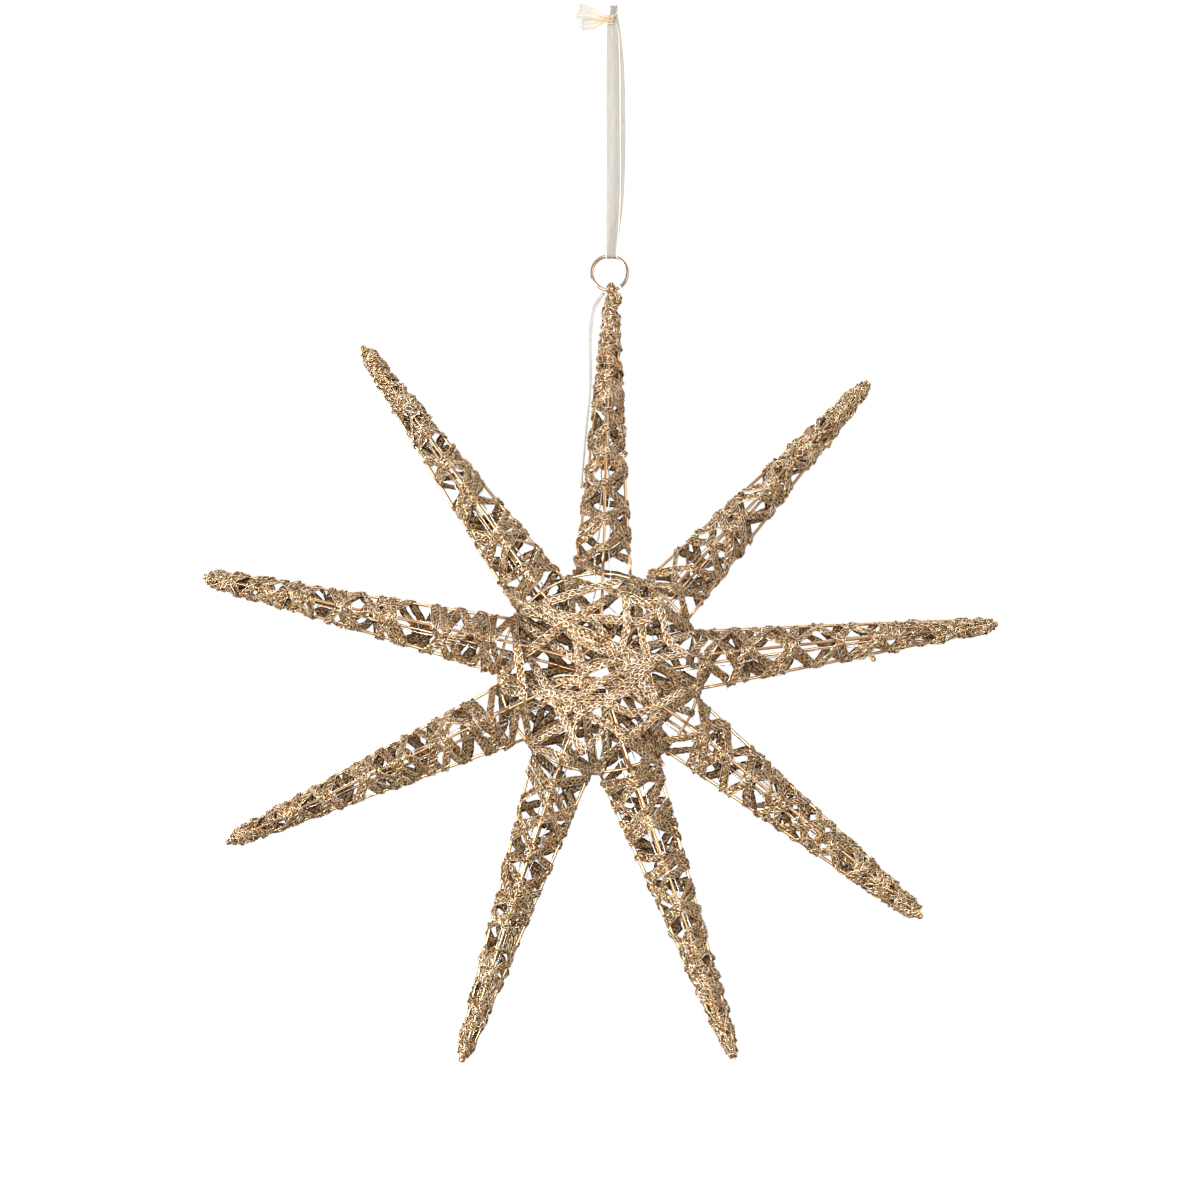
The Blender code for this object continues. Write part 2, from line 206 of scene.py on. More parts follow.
def organza_material(name, tones, sheer_from, sheer_to, selvage, neck=0.0):
    """Sheer ribbon: fine lengthwise threads with see-through between them, solid bright selvages."""
    mat, nt, bsdf, out = new_material(name)
    uv = nt.nodes.new("ShaderNodeTexCoord")
    sep = nt.nodes.new("ShaderNodeSeparateXYZ")
    nt.links.new(uv.outputs["UV"], sep.inputs[0])
    # distance from the ribbon's centre line, 0 to 1
    off = node(nt, "ShaderNodeMath", operation='SUBTRACT')
    off.inputs[1].default_value = 0.5
    nt.links.new(sep.outputs[0], off.inputs[0])
    dist = node(nt, "ShaderNodeMath", operation='ABSOLUTE')
    nt.links.new(off.outputs[0], dist.inputs[0])
    # stretched noise makes soft lengthwise streaks where the threads bunch
    scale = node(nt, "ShaderNodeMapping")
    scale.inputs["Scale"].default_value = (9.0, 0.8, 1.0)
    nt.links.new(uv.outputs["UV"], scale.inputs["Vector"])
    streak = node(nt, "ShaderNodeTexNoise", Scale=1.0, Detail=4.0, Roughness=0.6)
    nt.links.new(scale.outputs[0], streak.inputs["Vector"])
    fine = node(nt, "ShaderNodeMapping")
    fine.inputs["Scale"].default_value = (46.0, 46.0, 46.0)
    nt.links.new(uv.outputs["UV"], fine.inputs["Vector"])
    weave = node(nt, "ShaderNodeTexWave", Scale=1.0, Distortion=1.2)
    weave.wave_type = 'BANDS'
    weave.bands_direction = 'X'
    nt.links.new(fine.outputs[0], weave.inputs["Vector"])
    body = ramp(nt, [(0.30, tones[0]), (0.52, tones[1]), (0.75, tones[2])], streak.outputs[0])
    edge = ramp(nt, [(0.0, (0, 0, 0)), (0.432, (0, 0, 0)), (0.448, (1, 1, 1)), (1.0, (1, 1, 1))], dist.outputs[0])
    mix = node(nt, "ShaderNodeMix", data_type='RGBA')
    nt.links.new(edge.outputs[0], mix.inputs["Factor"])
    nt.links.new(body.outputs[0], mix.inputs[6])
    mix.inputs[7].default_value = (*selvage, 1.0)
    # where a tail is gathered into the knot it is thicker and warmer
    near = node(nt, "ShaderNodeMapRange")
    near.inputs["From Min"].default_value = 0.5
    near.inputs["From Max"].default_value = 1.5
    near.inputs["To Min"].default_value = neck
    near.inputs["To Max"].default_value = 0.0
    nt.links.new(sep.outputs[1], near.inputs["Value"])
    gathered = node(nt, "ShaderNodeMix", data_type='RGBA')
    nt.links.new(near.outputs[0], gathered.inputs["Factor"])
    nt.links.new(mix.outputs[2], gathered.inputs[6])
    gathered.inputs[7].default_value = (0.66, 0.55, 0.41, 1.0)
    mix = gathered
    nt.links.new(mix.outputs[2], bsdf.inputs["Base Color"])
    # threads solid, gaps clear
    sheer = node(nt, "ShaderNodeMapRange")
    sheer.inputs["To Min"].default_value = sheer_from
    sheer.inputs["To Max"].default_value = sheer_to
    nt.links.new(weave.outputs["Fac"], sheer.inputs["Value"])
    add = node(nt, "ShaderNodeMath", operation='MAXIMUM')
    nt.links.new(sheer.outputs[0], add.inputs[0])
    nt.links.new(edge.outputs[0], add.inputs[1])
    most = node(nt, "ShaderNodeMath", operation='MAXIMUM')
    nt.links.new(add.outputs[0], most.inputs[0])
    nt.links.new(near.outputs[0], most.inputs[1])
    add = most
    nt.links.new(add.outputs[0], bsdf.inputs["Alpha"])
    bsdf.inputs["Roughness"].default_value = 0.5
    glow = nt.nodes.new("ShaderNodeBsdfTranslucent")
    nt.links.new(mix.outputs[2], glow.inputs["Color"])
    clear = nt.nodes.new("ShaderNodeBsdfTransparent")
    glow_mix = nt.nodes.new("ShaderNodeMixShader")
    nt.links.new(add.outputs[0], glow_mix.inputs[0])
    nt.links.new(clear.outputs[0], glow_mix.inputs[1])
    nt.links.new(glow.outputs[0], glow_mix.inputs[2])
    both = node(nt, "ShaderNodeMixShader")
    both.inputs[0].default_value = 0.52
    nt.links.new(bsdf.outputs[0], both.inputs[1])
    nt.links.new(glow_mix.outputs[0], both.inputs[2])
    nt.links.new(both.outputs[0], out.inputs[0])
    bsdf.inputs["Sheen Weight"].default_value = 0.3
    bsdf.inputs["Sheen Roughness"].default_value = 0.4
    bsdf.inputs["Subsurface Weight"].default_value = 0.0
    bump = node(nt, "ShaderNodeBump", Strength=0.35, Distance=0.0002)
    nt.links.new(streak.outputs[0], bump.inputs["Height"])
    nt.links.new(bump.outputs[0], bsdf.inputs["Normal"])
    return mat


YARN = yarn_material("yarn_thread", [(0.0, (0.16, 0.066, 0.016)), (0.20, (0.46, 0.245, 0.090)),
                                     (0.40, (0.90, 0.665, 0.40)), (0.64, (1.0, 0.85, 0.62)),
                                     (1.0, (1.0, 0.95, 0.82))], (0.085, 0.032, 0.007), 0.60,
                     flake=900.0, tilt=0.75, rough=(0.20, 0.40), through=0.10)
# a copy of the yarn painted lighter and whiter, as light falling on the uppermost strands in front
PAINTED_LIT_YARN = yarn_material("yarn_thread_painted_lit", [(0.0, (0.22, 0.098, 0.028)), (0.14, (0.55, 0.33, 0.14)),
                                             (0.30, (0.95, 0.78, 0.53)), (0.52, (1.0, 0.91, 0.74)),
                                             (1.0, (1.0, 0.98, 0.90))], (0.060, 0.023, 0.005), 0.44,
                         flake=800.0, tilt=0.65, rough=(0.20, 0.38), through=0.06)
# a copy of the yarn painted darker, as the shade in the tape's ground between and under its threads
PAINTED_SHADE_GROUND = yarn_material("yarn_ground_painted_shade", [(0.0, (0.085, 0.034, 0.008)), (0.45, (0.25, 0.115, 0.033)),
                                         (0.8, (0.50, 0.295, 0.115)), (1.0, (0.85, 0.64, 0.36))],
                        (0.20, 0.10, 0.035), 0.40, flake=1100.0, tilt=0.7, rough=(0.32, 0.6), through=0.45)
YARN_KNOB = yarn_material("yarn_knob", [(0.0, (0.10, 0.040, 0.010)), (0.28, (0.34, 0.175, 0.065)),
                                        (0.52, (0.66, 0.45, 0.25)), (1.0, (0.96, 0.80, 0.60))], (0.050, 0.019, 0.005), 0.60,
                          flake=900.0, tilt=0.75, rough=(0.20, 0.40), through=0.05)
COPPER = copper_material("copper", (0.47, 0.285, 0.150), (0.38, 0.215, 0.105), (0.25, 0.33))
RING_MAT = copper_material("ring_copper", (0.385, 0.270, 0.184), (0.34, 0.232, 0.152), (0.28, 0.33))
SILVER = clear_material("fine_silver_wire", (0.56, 0.545, 0.51), 0.27, 0.0, 0.75)
SLEEVE = clear_material("clear_sleeve", (0.37, 0.36, 0.33), 0.24, 0.06)
LAMP = clear_material("lamp_resin", (0.97, 0.97, 0.94), 0.03, 0.95)
PHOSPHOR = clear_material("lamp_chip", (0.95, 0.68, 0.06), 0.5, 0.0)
ORGANZA = organza_material("organza", ((0.392, 0.371, 0.340), (0.440, 0.420, 0.388), (0.492, 0.470, 0.436)),
                           0.56, 0.84, (1.0, 0.97, 0.88))
TAIL = organza_material("organza_tail", ((0.46, 0.43, 0.39), (0.55, 0.52, 0.475), (0.68, 0.65, 0.60)),
                        0.35, 0.80, (0.60, 0.55, 0.475), 1.0)
TIED = organza_material("organza_tied", ((0.48, 0.385, 0.27), (0.62, 0.52, 0.385), (0.78, 0.69, 0.54)),
                        0.85, 0.98, (0.95, 0.86, 0.68))


# ------------------------------------------------------------------ mesh helpers
def mesh_object(name, verts_mm, faces, mats, uvs=None, smooth=True, tris=None, face_mats=None):
    """verts in mm from the star's centre; faces as an (n, 4) array, then triangles as an (m, 3) array."""
    v = (np.asarray(verts_mm, float) + CENTRE) * MM
    q = np.asarray(faces, np.int32).reshape(-1, 4)
    t = np.zeros((0, 3), np.int32) if tris is None else np.asarray(tris, np.int32).reshape(-1, 3)
    loops = np.concatenate([q.ravel(), t.ravel()])
    me = bpy.data.meshes.new(name)
    me.vertices.add(len(v))
    me.vertices.foreach_set("co", v.astype(np.float32).ravel())
    me.loops.add(len(loops))
    me.loops.foreach_set("vertex_index", loops)
    me.polygons.add(len(q) + len(t))
    me.polygons.foreach_set("loop_start", np.concatenate([np.arange(len(q)) * 4,
                                                          q.size + np.arange(len(t)) * 3]).astype(np.int32))
    me.polygons.foreach_set("loop_total", np.concatenate([np.full(len(q), 4), np.full(len(t), 3)]).astype(np.int32))
    if uvs is not None:
        layer = me.uv_layers.new(name="uv")
        layer.data.foreach_set("uv", np.asarray(uvs, np.float32)[loops].ravel())
    for m in (mats if isinstance(mats, (list, tuple)) else [mats]):
        me.materials.append(m)
    if face_mats is not None:
        me.polygons.foreach_set("material_index", np.asarray(face_mats, np.int32))
    me.update(calc_edges=True)
    me.validate()
    if smooth:
        me.shade_smooth()
    ob = bpy.data.objects.new(name, me)
    bpy.context.scene.collection.objects.link(ob)
    return ob


class Builder:
    """Collects tubes and strips into one mesh."""

    def __init__(self):
        self.v, self.uv, self.q, self.t, self.qm, self.tm, self.n = [], [], [], [], [], [], 0

    def add(self, verts, quads, tris=(), mat=0, uv=None):
        self.v.append(verts)
        self.uv.append(np.ones((len(verts), 2)) if uv is None else uv)
        quads = np.asarray(quads, int).reshape(-1, 4)
        tris = np.asarray(tris, int).reshape(-1, 3)
        self.q.append(quads + self.n)
        self.t.append(tris + self.n)
        self.qm.append(np.full(len(quads), mat))
        self.tm.append(np.full(len(tris), mat))
        self.n += len(verts)

    def rings(self, rings, mat=0, around=None):
        """rings: (n, k, 3) sections joined along n and closed at both ends; around: k values written as u."""
        n, k, _ = rings.shape
        idx = np.arange(n * k).reshape(n, k)
        a, b = idx[:-1], idx[1:]
        quads = np.stack([a, np.roll(a, -1, 1), np.roll(b, -1, 1), b], -1).reshape(-1, 4)
        caps, tris = [], []
        for row, flip in ((idx[0], True), (idx[-1], False)):
            if k == 3:
                f = [row[0], row[1], row[2]]
                tris.append(f[::-1] if flip else f)
                continue
            for j in range(k // 2 - 1):
                f = [row[j], row[j + 1], row[k - 2 - j], row[k - 1 - j]]
                caps.append(f[::-1] if flip else f)
        uv = None
        if around is not None:
            uv = np.stack([np.broadcast_to(np.asarray(around, float)[None], (n, k)),
                           np.broadcast_to((np.arange(n) / n)[:, None], (n, k))], -1).reshape(-1, 2)
        self.add(rings.reshape(-1, 3), np.concatenate([quads, np.array(caps, int).reshape(-1, 4)]), tris, mat, uv)

    def build(self, name, mats):
        return mesh_object(name, np.concatenate(self.v), np.concatenate(self.q), mats, uvs=np.concatenate(self.uv),
                           tris=np.concatenate(self.t), face_mats=np.concatenate(self.qm + self.tm))


def unit(v):
    return v / np.maximum(np.linalg.norm(v, axis=-1, keepdims=True), 1e-9)


def tangents(p):
    return unit(np.gradient(p, axis=0))


def resample(p, step, extra=None):
    d = np.r_[0.0, np.cumsum(np.linalg.norm(np.diff(p, axis=0), axis=1))]
    n = max(3, int(round(d[-1] / step)) + 1)
    s = np.linspace(0, d[-1], n)
    out = np.stack([np.interp(s, d, p[:, i]) for i in range(3)], 1)
    if extra is None:
        return out, s
    e = np.stack([np.interp(s, d, extra[:, i]) for i in range(3)], 1)
    return out, s, unit(e)


def blur(p, passes):
    for _ in range(passes):
        q = p.copy()
        q[1:-1] = 0.25 * p[:-2] + 0.5 * p[1:-1] + 0.25 * p[2:]
        p = q
    return p


def frame_of(p):
    """Tangent and two normals carried along a path without twisting."""
    t = tangents(p)
    n = np.zeros_like(p)
    start = np.array([0.0, 1.0, 0.0]) if abs(t[0][1]) < 0.8 else np.array([1.0, 0.0, 0.0])
    n[0] = unit(start - t[0] * np.dot(start, t[0]))
    for i in range(1, len(p)):
        v = n[i - 1] - t[i] * np.dot(n[i - 1], t[i])
        n[i] = v / max(np.linalg.norm(v), 1e-9)
    return t, n, np.cross(t, n)


def tube(builder, p, radius, sides=8):
    p = np.asarray(p, float)
    t, n, b = frame_of(p)
    r = np.broadcast_to(np.asarray(radius, float), (len(p),))
    a = np.arange(sides) * 2 * np.pi / sides
    ring = (n[:, None, :] * np.cos(a)[None, :, None] + b[:, None, :] * np.sin(a)[None, :, None])
    builder.rings(p[:, None, :] + ring * r[:, None, None])


def catmull(points, per):
    pts = np.asarray(points, float)
    pts = np.vstack([2 * pts[0] - pts[1], pts, 2 * pts[-1] - pts[-2]])
    out = []
    for i in range(1, len(pts) - 2):
        p0, p1, p2, p3 = pts[i - 1:i + 3]
        t = np.arange(per)[:, None] / per
        out.append(0.5 * (2 * p1 + (p2 - p0) * t + (2 * p0 - 5 * p1 + 4 * p2 - p3) * t ** 2
                          + (3 * p1 - p0 - 3 * p2 + p3) * t ** 3))
    out.append(pts[-2][None])
    return np.concatenate(out)


def wander(rng, s, length, amount):
    """Smooth random value along s, changing over about the given length."""
    n = max(4, int(s[-1] / length) + 4)
    knots = rng.normal(0, amount, n)
    x = s / length
    i = np.clip(x.astype(int), 0, n - 2)
    f = np.clip(x - i, 0, 1)
    f = f * f * (3 - 2 * f)
    return knots[i] * (1 - f) + knots[i + 1] * f


# ------------------------------------------------------------------ the clear lead (the free cord)
LEAD_ROUTE = ((2.6, -0.4, 244.0), (-2.0, -1.6, 237.2), (-5.0, -2.4, 228.2), (-6.2, -3.4, 210.0),
              (-6.0, -4.6, 192.0), (-6.6, -5.8, 176.0), (-8.7, -6.6, 154.0), (-10.7, -6.4, 130.0),
              (-11.7, -5.6, 115.4))
lead_points = catmull(LEAD_ROUTE, 4)
build = Builder()
t, n, b = frame_of(lead_points)
turn = np.radians(np.linspace(0, 45, len(lead_points)))[:, None]      # the flat cord turns a little on its way
wide = n * np.sin(turn) + b * np.cos(turn)
deep = n * np.cos(turn) - b * np.sin(turn)
outline = [(0.50 + 0.52 * math.cos(a), 0.52 * math.sin(a)) for a in np.radians((-75, -35, 0, 35, 75))]
outline += [(0.0, 0.34)] + [(-x, z) for x, z in reversed(outline)] + [(0.0, -0.34)]
outline = np.array(outline)
ring = (lead_points[:, None] + wide[:, None] * outline[None, :, 0, None] + deep[:, None] * outline[None, :, 1, None])
build.rings(ring)
lead = build.build("lead", SLEEVE)
cores = Builder()
for side in (-1, 1):
    tube(cores, lead_points + wide * 0.46 * side, 0.17, 6)
lead_cores = cores.build("lead_cores", SILVER)
for ob in (lead, lead_cores):
    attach(ob, "root")
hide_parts("lead_wire")


# ------------------------------------------------------------------ ray geometry
class Ray:
    def __init__(self, i):
        a = math.radians(RAY_ANGLE[i])
        self.length = RAY_LENGTH[i]
        self.shift = BASE_SHIFT[i]
        self.wider = WIDER[i]
        self.axis = np.array([math.sin(a), 0.0, math.cos(a)])
        self.side = np.array([math.cos(a), 0.0, -math.sin(a)])
        y = np.array([0.0, 1.0, 0.0])
        self.out = (self.side, y, -self.side, -y)
        rise = (HALF_DEPTH - TIP_HALF) / self.length
        self.slope = (EDGE_SLOPE, rise, EDGE_SLOPE, rise)

    def spread(self, w, s):
        """Distance of wire w from the axis: a straight taper, then the bend in to the tip."""
        u = self.length - s
        straight = TIP_HALF + self.slope[w % 4] * u
        if w % 2 == 0:                     # the edges of each ray as made, root and tip
            straight += self.wider[1] + (self.wider[0] - self.wider[1]) * min(1.0, u / 185.0)
        k = min(1.0, max(0.0, (u - 2.0) / 9.0))
        return 0.85 + (straight - 0.85) * (k * k * (3 - 2 * k)) ** 0.6 if u < 11.0 else straight

    def middle(self, s):
        return self.axis * s + self.side * (self.shift * (1 - s / self.length) * min(1.0, s / 60.0))

    def wire(self, w, s):
        """Point on wire w (right edge, back ridge, left edge, front ridge) at s along the axis."""
        return self.middle(s) + self.out[w % 4] * self.spread(w, s)

    def face(self, w0, w1):
        """Outward normal of the flat face between two neighbouring wires."""
        a = self.axis - self.out[w0 % 4] * self.slope[w0 % 4]
        b = self.axis - self.out[w1 % 4] * self.slope[w1 % 4]
        n = unit(np.cross(a, b))
        return n if np.dot(n, self.out[w0 % 4] + self.out[w1 % 4]) > 0 else -n


rays = [Ray(i) for i in range(9)]


def wound_path(ray, corners):
    """Line laid over the wires: straight across each face, bent round each wire."""
    pts, nrm = [], []
    for j, (w, s, off) in enumerate(corners):
        here = ray.wire(w, s)
        n_in = ray.face(corners[j - 1][0], w) if j else None
        n_out = ray.face(w, corners[j + 1][0]) if j + 1 < len(corners) else n_in
        if n_in is None:
            n_in = n_out
        for t in np.linspace(0, 1, 5):
            n = unit((1 - t) * n_in + t * n_out)
            pts.append(here + n * off)
            nrm.append(n)
    return np.array(pts), np.array(nrm)


# ------------------------------------------------------------------ flat looped yarn
STEP = 1.0
EYE = 4.0             # one eye of the chain to the next


def thread(build, c, n, ra, rb, mat=0, both=True):
    """One fine thread, its crest (and its underside where that shows) marked bright, its sides marked for the painted
    shade down its flanks.
    """
    tc = tangents(c)
    lat = unit(np.cross(tc, n))
    nn = np.cross(lat, tc)
    ra = np.array(ra, float)
    rb = np.array(rb, float)
    for e in (0, -1):
        ra[e] *= 0.35
        rb[e] *= 0.35
    side, up = lat * ra[:, None], nn * rb[:, None]
    if both:
        build.rings(np.stack([c + side, c + up, c - side, c - up], 1), mat, (0.0, 1.0, 0.0, 1.0))
    else:
        build.rings(np.stack([c + side - 0.4 * up, c + up, c - side - 0.4 * up], 1), mat, (0.1, 1.0, 0.1))


def tape(build, path, normals, rng, width=1.0, roll_amount=0.26, top=0):
    """Flat yarn along the path: a chain of round eyes down its middle, a thread along each edge, and a ground strip
    painted dark as the shade beneath the threads. top is the eye threads' slot, 2 being the yarn painted lighter as
    lit.
    """
    p, s, n = resample(path, STEP, normals)
    p = blur(p, 2)
    n = unit(blur(n, 3))
    t = tangents(p)
    n = unit(n - t * np.sum(n * t, 1, keepdims=True))
    b = np.cross(t, n)
    roll = wander(rng, s, 16.0, roll_amount)[:, None]
    n, b = n * np.cos(roll) + b * np.sin(roll), b * np.cos(roll) - n * np.sin(roll)
    wide = width * (1.0 + np.clip(wander(rng, s, 22.0, 0.14), -0.36, 0.12))
    p = p + b * wander(rng, s, 8.0, 0.30)[:, None] + n * wander(rng, s, 10.0, 0.16)[:, None]
    f = np.pi * s / EYE + rng.uniform(0, 2 * np.pi) + np.cumsum(rng.normal(0, 0.05, len(s)))
    sin = np.sign(np.sin(f)) * np.abs(np.sin(f)) ** 0.6
    m = len(s)
    size = 1.56 * wide * (1.0 + wander(rng, s, 5.0, 0.10))
    for k in (1, -1):
        c = p + b * (k * size * sin)[:, None] + n * (k * 0.26 * np.cos(f))[:, None]
        thread(build, c + rng.normal(0, 0.05, c.shape), n, 0.41 * (1 + rng.normal(0, 0.14, m)),
               0.38 * (1 + rng.normal(0, 0.10, m)), top)
    j = np.unique(np.r_[np.arange(0, m, 2), m - 1])
    for k in (1, -1):
        c = p[j] + b[j] * (k * wide[j] * (2.38 + rng.normal(0, 0.16, len(j))))[:, None]
        thread(build, c + n[j] * rng.normal(0.0, 0.12, len(j))[:, None], n[j] + 0.5 * k * b[j],
               0.37 * (1 + rng.normal(0, 0.18, len(j))), 0.34 * (1 + rng.normal(0, 0.14, len(j))), 0, False)
    # the ground strip under the threads, in slot 1: painted shade
    hw = (2.36 * wide)[j][:, None]
    build.rings(np.stack([p[j] + b[j] * hw, p[j] + n[j] * 0.06, p[j] - b[j] * hw, p[j] - n[j] * 0.06], 1), 1,
                (1.0, 1.0, 1.0, 1.0))
    return s[-1]


# slots: the yarn, the ground painted dark as shade, and the yarn painted light for the uppermost strands
YARNS = [YARN, PAINTED_SHADE_GROUND, PAINTED_LIT_YARN]


def ray_pass(ray, rng, s0, s1, base_pitch, tip_pitch, turn, phase, off, jitter, bunch=(0.0, 0.0)):
    """One winding along the ray, out from the centre, its turns closing up towards the tip and into bands."""
    grid = np.linspace(s0 - 30.0, s1, 200)
    share = np.clip((ray.length - grid) / 185.0, 0.0, 1.0)
    turns = np.r_[0.0, np.cumsum(np.diff(grid) / (tip_pitch + (base_pitch - tip_pitch) * share[1:]))]
    corners = []
    drift = rng.uniform(0, 2 * math.pi)
    for m in range(int(turns[-1] * 4) + 1):
        at = (m + 4.0 * phase) / 4.0 + rng.normal(0, jitter) + 0.09 * math.sin(m * 0.35 + drift)
        s = np.interp(at, turns, grid) if at < turns[-1] else s1
        s += bunch[0] * 4.8 * math.sin(2 * math.pi * s / 30.0 + bunch[1])
        if s < s0:
            continue
        corners.append(((turn * m) % 4, min(s, ray.length - 0.8), off + rng.uniform(-0.15, 0.35)))
    return corners


total = 0.0
# how open the winding is on each ray, near the centre and near the tip
LOOSE = ((1.06, 1.05), (1.16, 1.15), (1.14, 1.75), (1.08, 1.15), (0.94, 1.22), (1.20, 1.35), (0.96, 1.30),
         (1.06, 1.32), (1.02, 1.25))
# how strongly the turns gather into bands, and how long a run of yarn lies inside the narrow end, mm
BUNCH = (0.15, 0.3, 0.4, 0.35, 0.3, 0.45, 0.25, 0.25, 0.3)
SQUARE = (False, False, False, False, True, False, True, True, True)
INSIDE = (115.0, 95.0, 60.0, 70.0, 60.0, 60.0, 0.0, 0.0, 45.0)
# places where a loop or a cut end of yarn stands off the side of a ray: x, z, and whether it is a loop
STRAYS = ((16.5, 156.2, False), (17.1, 140.0, False), (138.6, 160.1, True), (145.3, 144.5, True),
          (147.2, -123.3, True), (73.3, -193.0, True), (170.7, 6.8, False))
BARE_TIP = {3: 5.0, 5: 6.5, 6: 5.5, 7: 7.0, 8: 6.0}
for i, ray in enumerate(rays):
    rng = np.random.default_rng(100 + i)
    build = Builder()
    end = ray.length - BARE_TIP.get(i, 2.0)
    first = rng.uniform(0, 1)
    loose = LOOSE[i]
    plan = [(51.0, end - 0.6 * q, 44.0 * loose[0], 26.0 * loose[1], 1, (first + (0.0, 0.15, 0.54)[q]) % 1.0,
             1.30 + 0.25 * q, 0.05) for q in range(3)]
    plan += [(51.0, end - 0.6 * q, 54.0 * loose[0], 28.0 * loose[1], -1, (first + (0.12, 0.26, 0.66)[q]) % 1.0,
              1.42 + 0.25 * q, 0.05) for q in range(3)]
    if SQUARE[i]:                          # wound more squarely across, in pairs, with only a few long diagonals
        plan = [(51.0, end - 0.6 * q, 31.0 * loose[0], 18.0 * loose[1], (1, 1, -1)[q], (first + (0.0, 0.17, 0.55)[q]) % 1.0,
                 1.30 + 0.25 * q, 0.06) for q in range(3)]
        plan += [(51.0, end - 0.6 * q, 60.0 * loose[0], 32.0 * loose[1], (-1, 1)[q], (first + (0.3, 0.6)[q]) % 1.0,
                  1.70 + 0.25 * q, 0.05) for q in range(2)]
    plan.append((ray.length - 70, end - 3, 24.0 * loose[1], 13.0 * loose[1], -1, first, 2.2, 0.05))
    for s0, s1, base, tip, turn, phase, off, jit in plan:
        corners = ray_pass(ray, rng, s0, s1, base, tip, turn, phase, off, jit, (BUNCH[i], 1.7 * i))
        if len(corners) < 3:
            continue
        path, nrm = wound_path(ray, corners)
        total += tape(build, path, nrm, rng)
    # a run of yarn laid along inside the narrow end before it was wound
    if INSIDE[i]:
        s = np.linspace(ray.length - INSIDE[i], ray.length - 7.0, 40)
        inner = np.array([ray.middle(x) + ray.out[3] * 0.45 * ray.spread(3, x) for x in s])
        inner += ray.side * (np.sin(s * 0.16 + i) * 0.25 * EDGE_SLOPE * (ray.length - s))[:, None]
        total += tape(build, inner, np.tile(np.array([0.0, -1.0, 0.0]), (len(s), 1)), rng, 1.0, 0.2)
    for x, z, looped in STRAYS:
        at = np.array([x, 0.0, z])
        along, lateral = float(at @ ray.axis), float(at @ ray.side)
        if along < 100 or abs(lateral) > 25:
            continue
        w = 0 if lateral > 0 else 2
        out = ray.side * (1 if lateral > 0 else -1)
        root = ray.wire(w, along - 3.5) + np.array([0, -1.2, 0])
        back = ray.wire(w, along + 3.5) + np.array([0, 1.0, 0])
        tip = ray.axis * along + ray.side * lateral
        if looped:
            line = np.array([root - out * 2, root, tip - ray.axis * 1.6, tip, tip + ray.axis * 1.4, back, back - out * 2])
        else:
            line = np.array([root - out * 3, root, (root + tip) / 2 + ray.axis, tip])
        line = catmull(line, 6)
        total += tape(build, line, np.tile(np.array([0.0, -1.0, 0.0]), (len(line), 1)), rng, 0.56, 0.5)
    piece = build.build(f"ray_yarn_{i + 1}", YARNS)
    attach(piece, "root")
    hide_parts(f"ray_wrap_{i + 1}")


# ------------------------------------------------------------------ strands across the centre
VALLEY = (341.2, 23.7, 62.7, 100.5, 142.6, 182.8, 224.3, 265.6, 303.1)
RAY_DIR = np.array([[r.axis[0], r.axis[2]] for r in rays])


def ridge(i, r):
    return HALF_DEPTH - rays[i].slope[1] * r


def tent(x, z):
    """Height of the surface stretched over the ridge wires, which is flat inside the little ring."""
    a = math.degrees(math.atan2(x, z)) % 360
    i = max((k for k in range(9) if RAY_ANGLE[k] <= a), default=8)
    j = (i + 1) % 9
    m = np.array([[RAY_DIR[i][0], RAY_DIR[j][0]], [RAY_DIR[i][1], RAY_DIR[j][1]]])
    al, be = np.linalg.solve(m, (x, z))
    return min(HALF_DEPTH - rays[i].slope[1] * al - rays[j].slope[1] * be, ridge(0, HUB_RING_R)), i


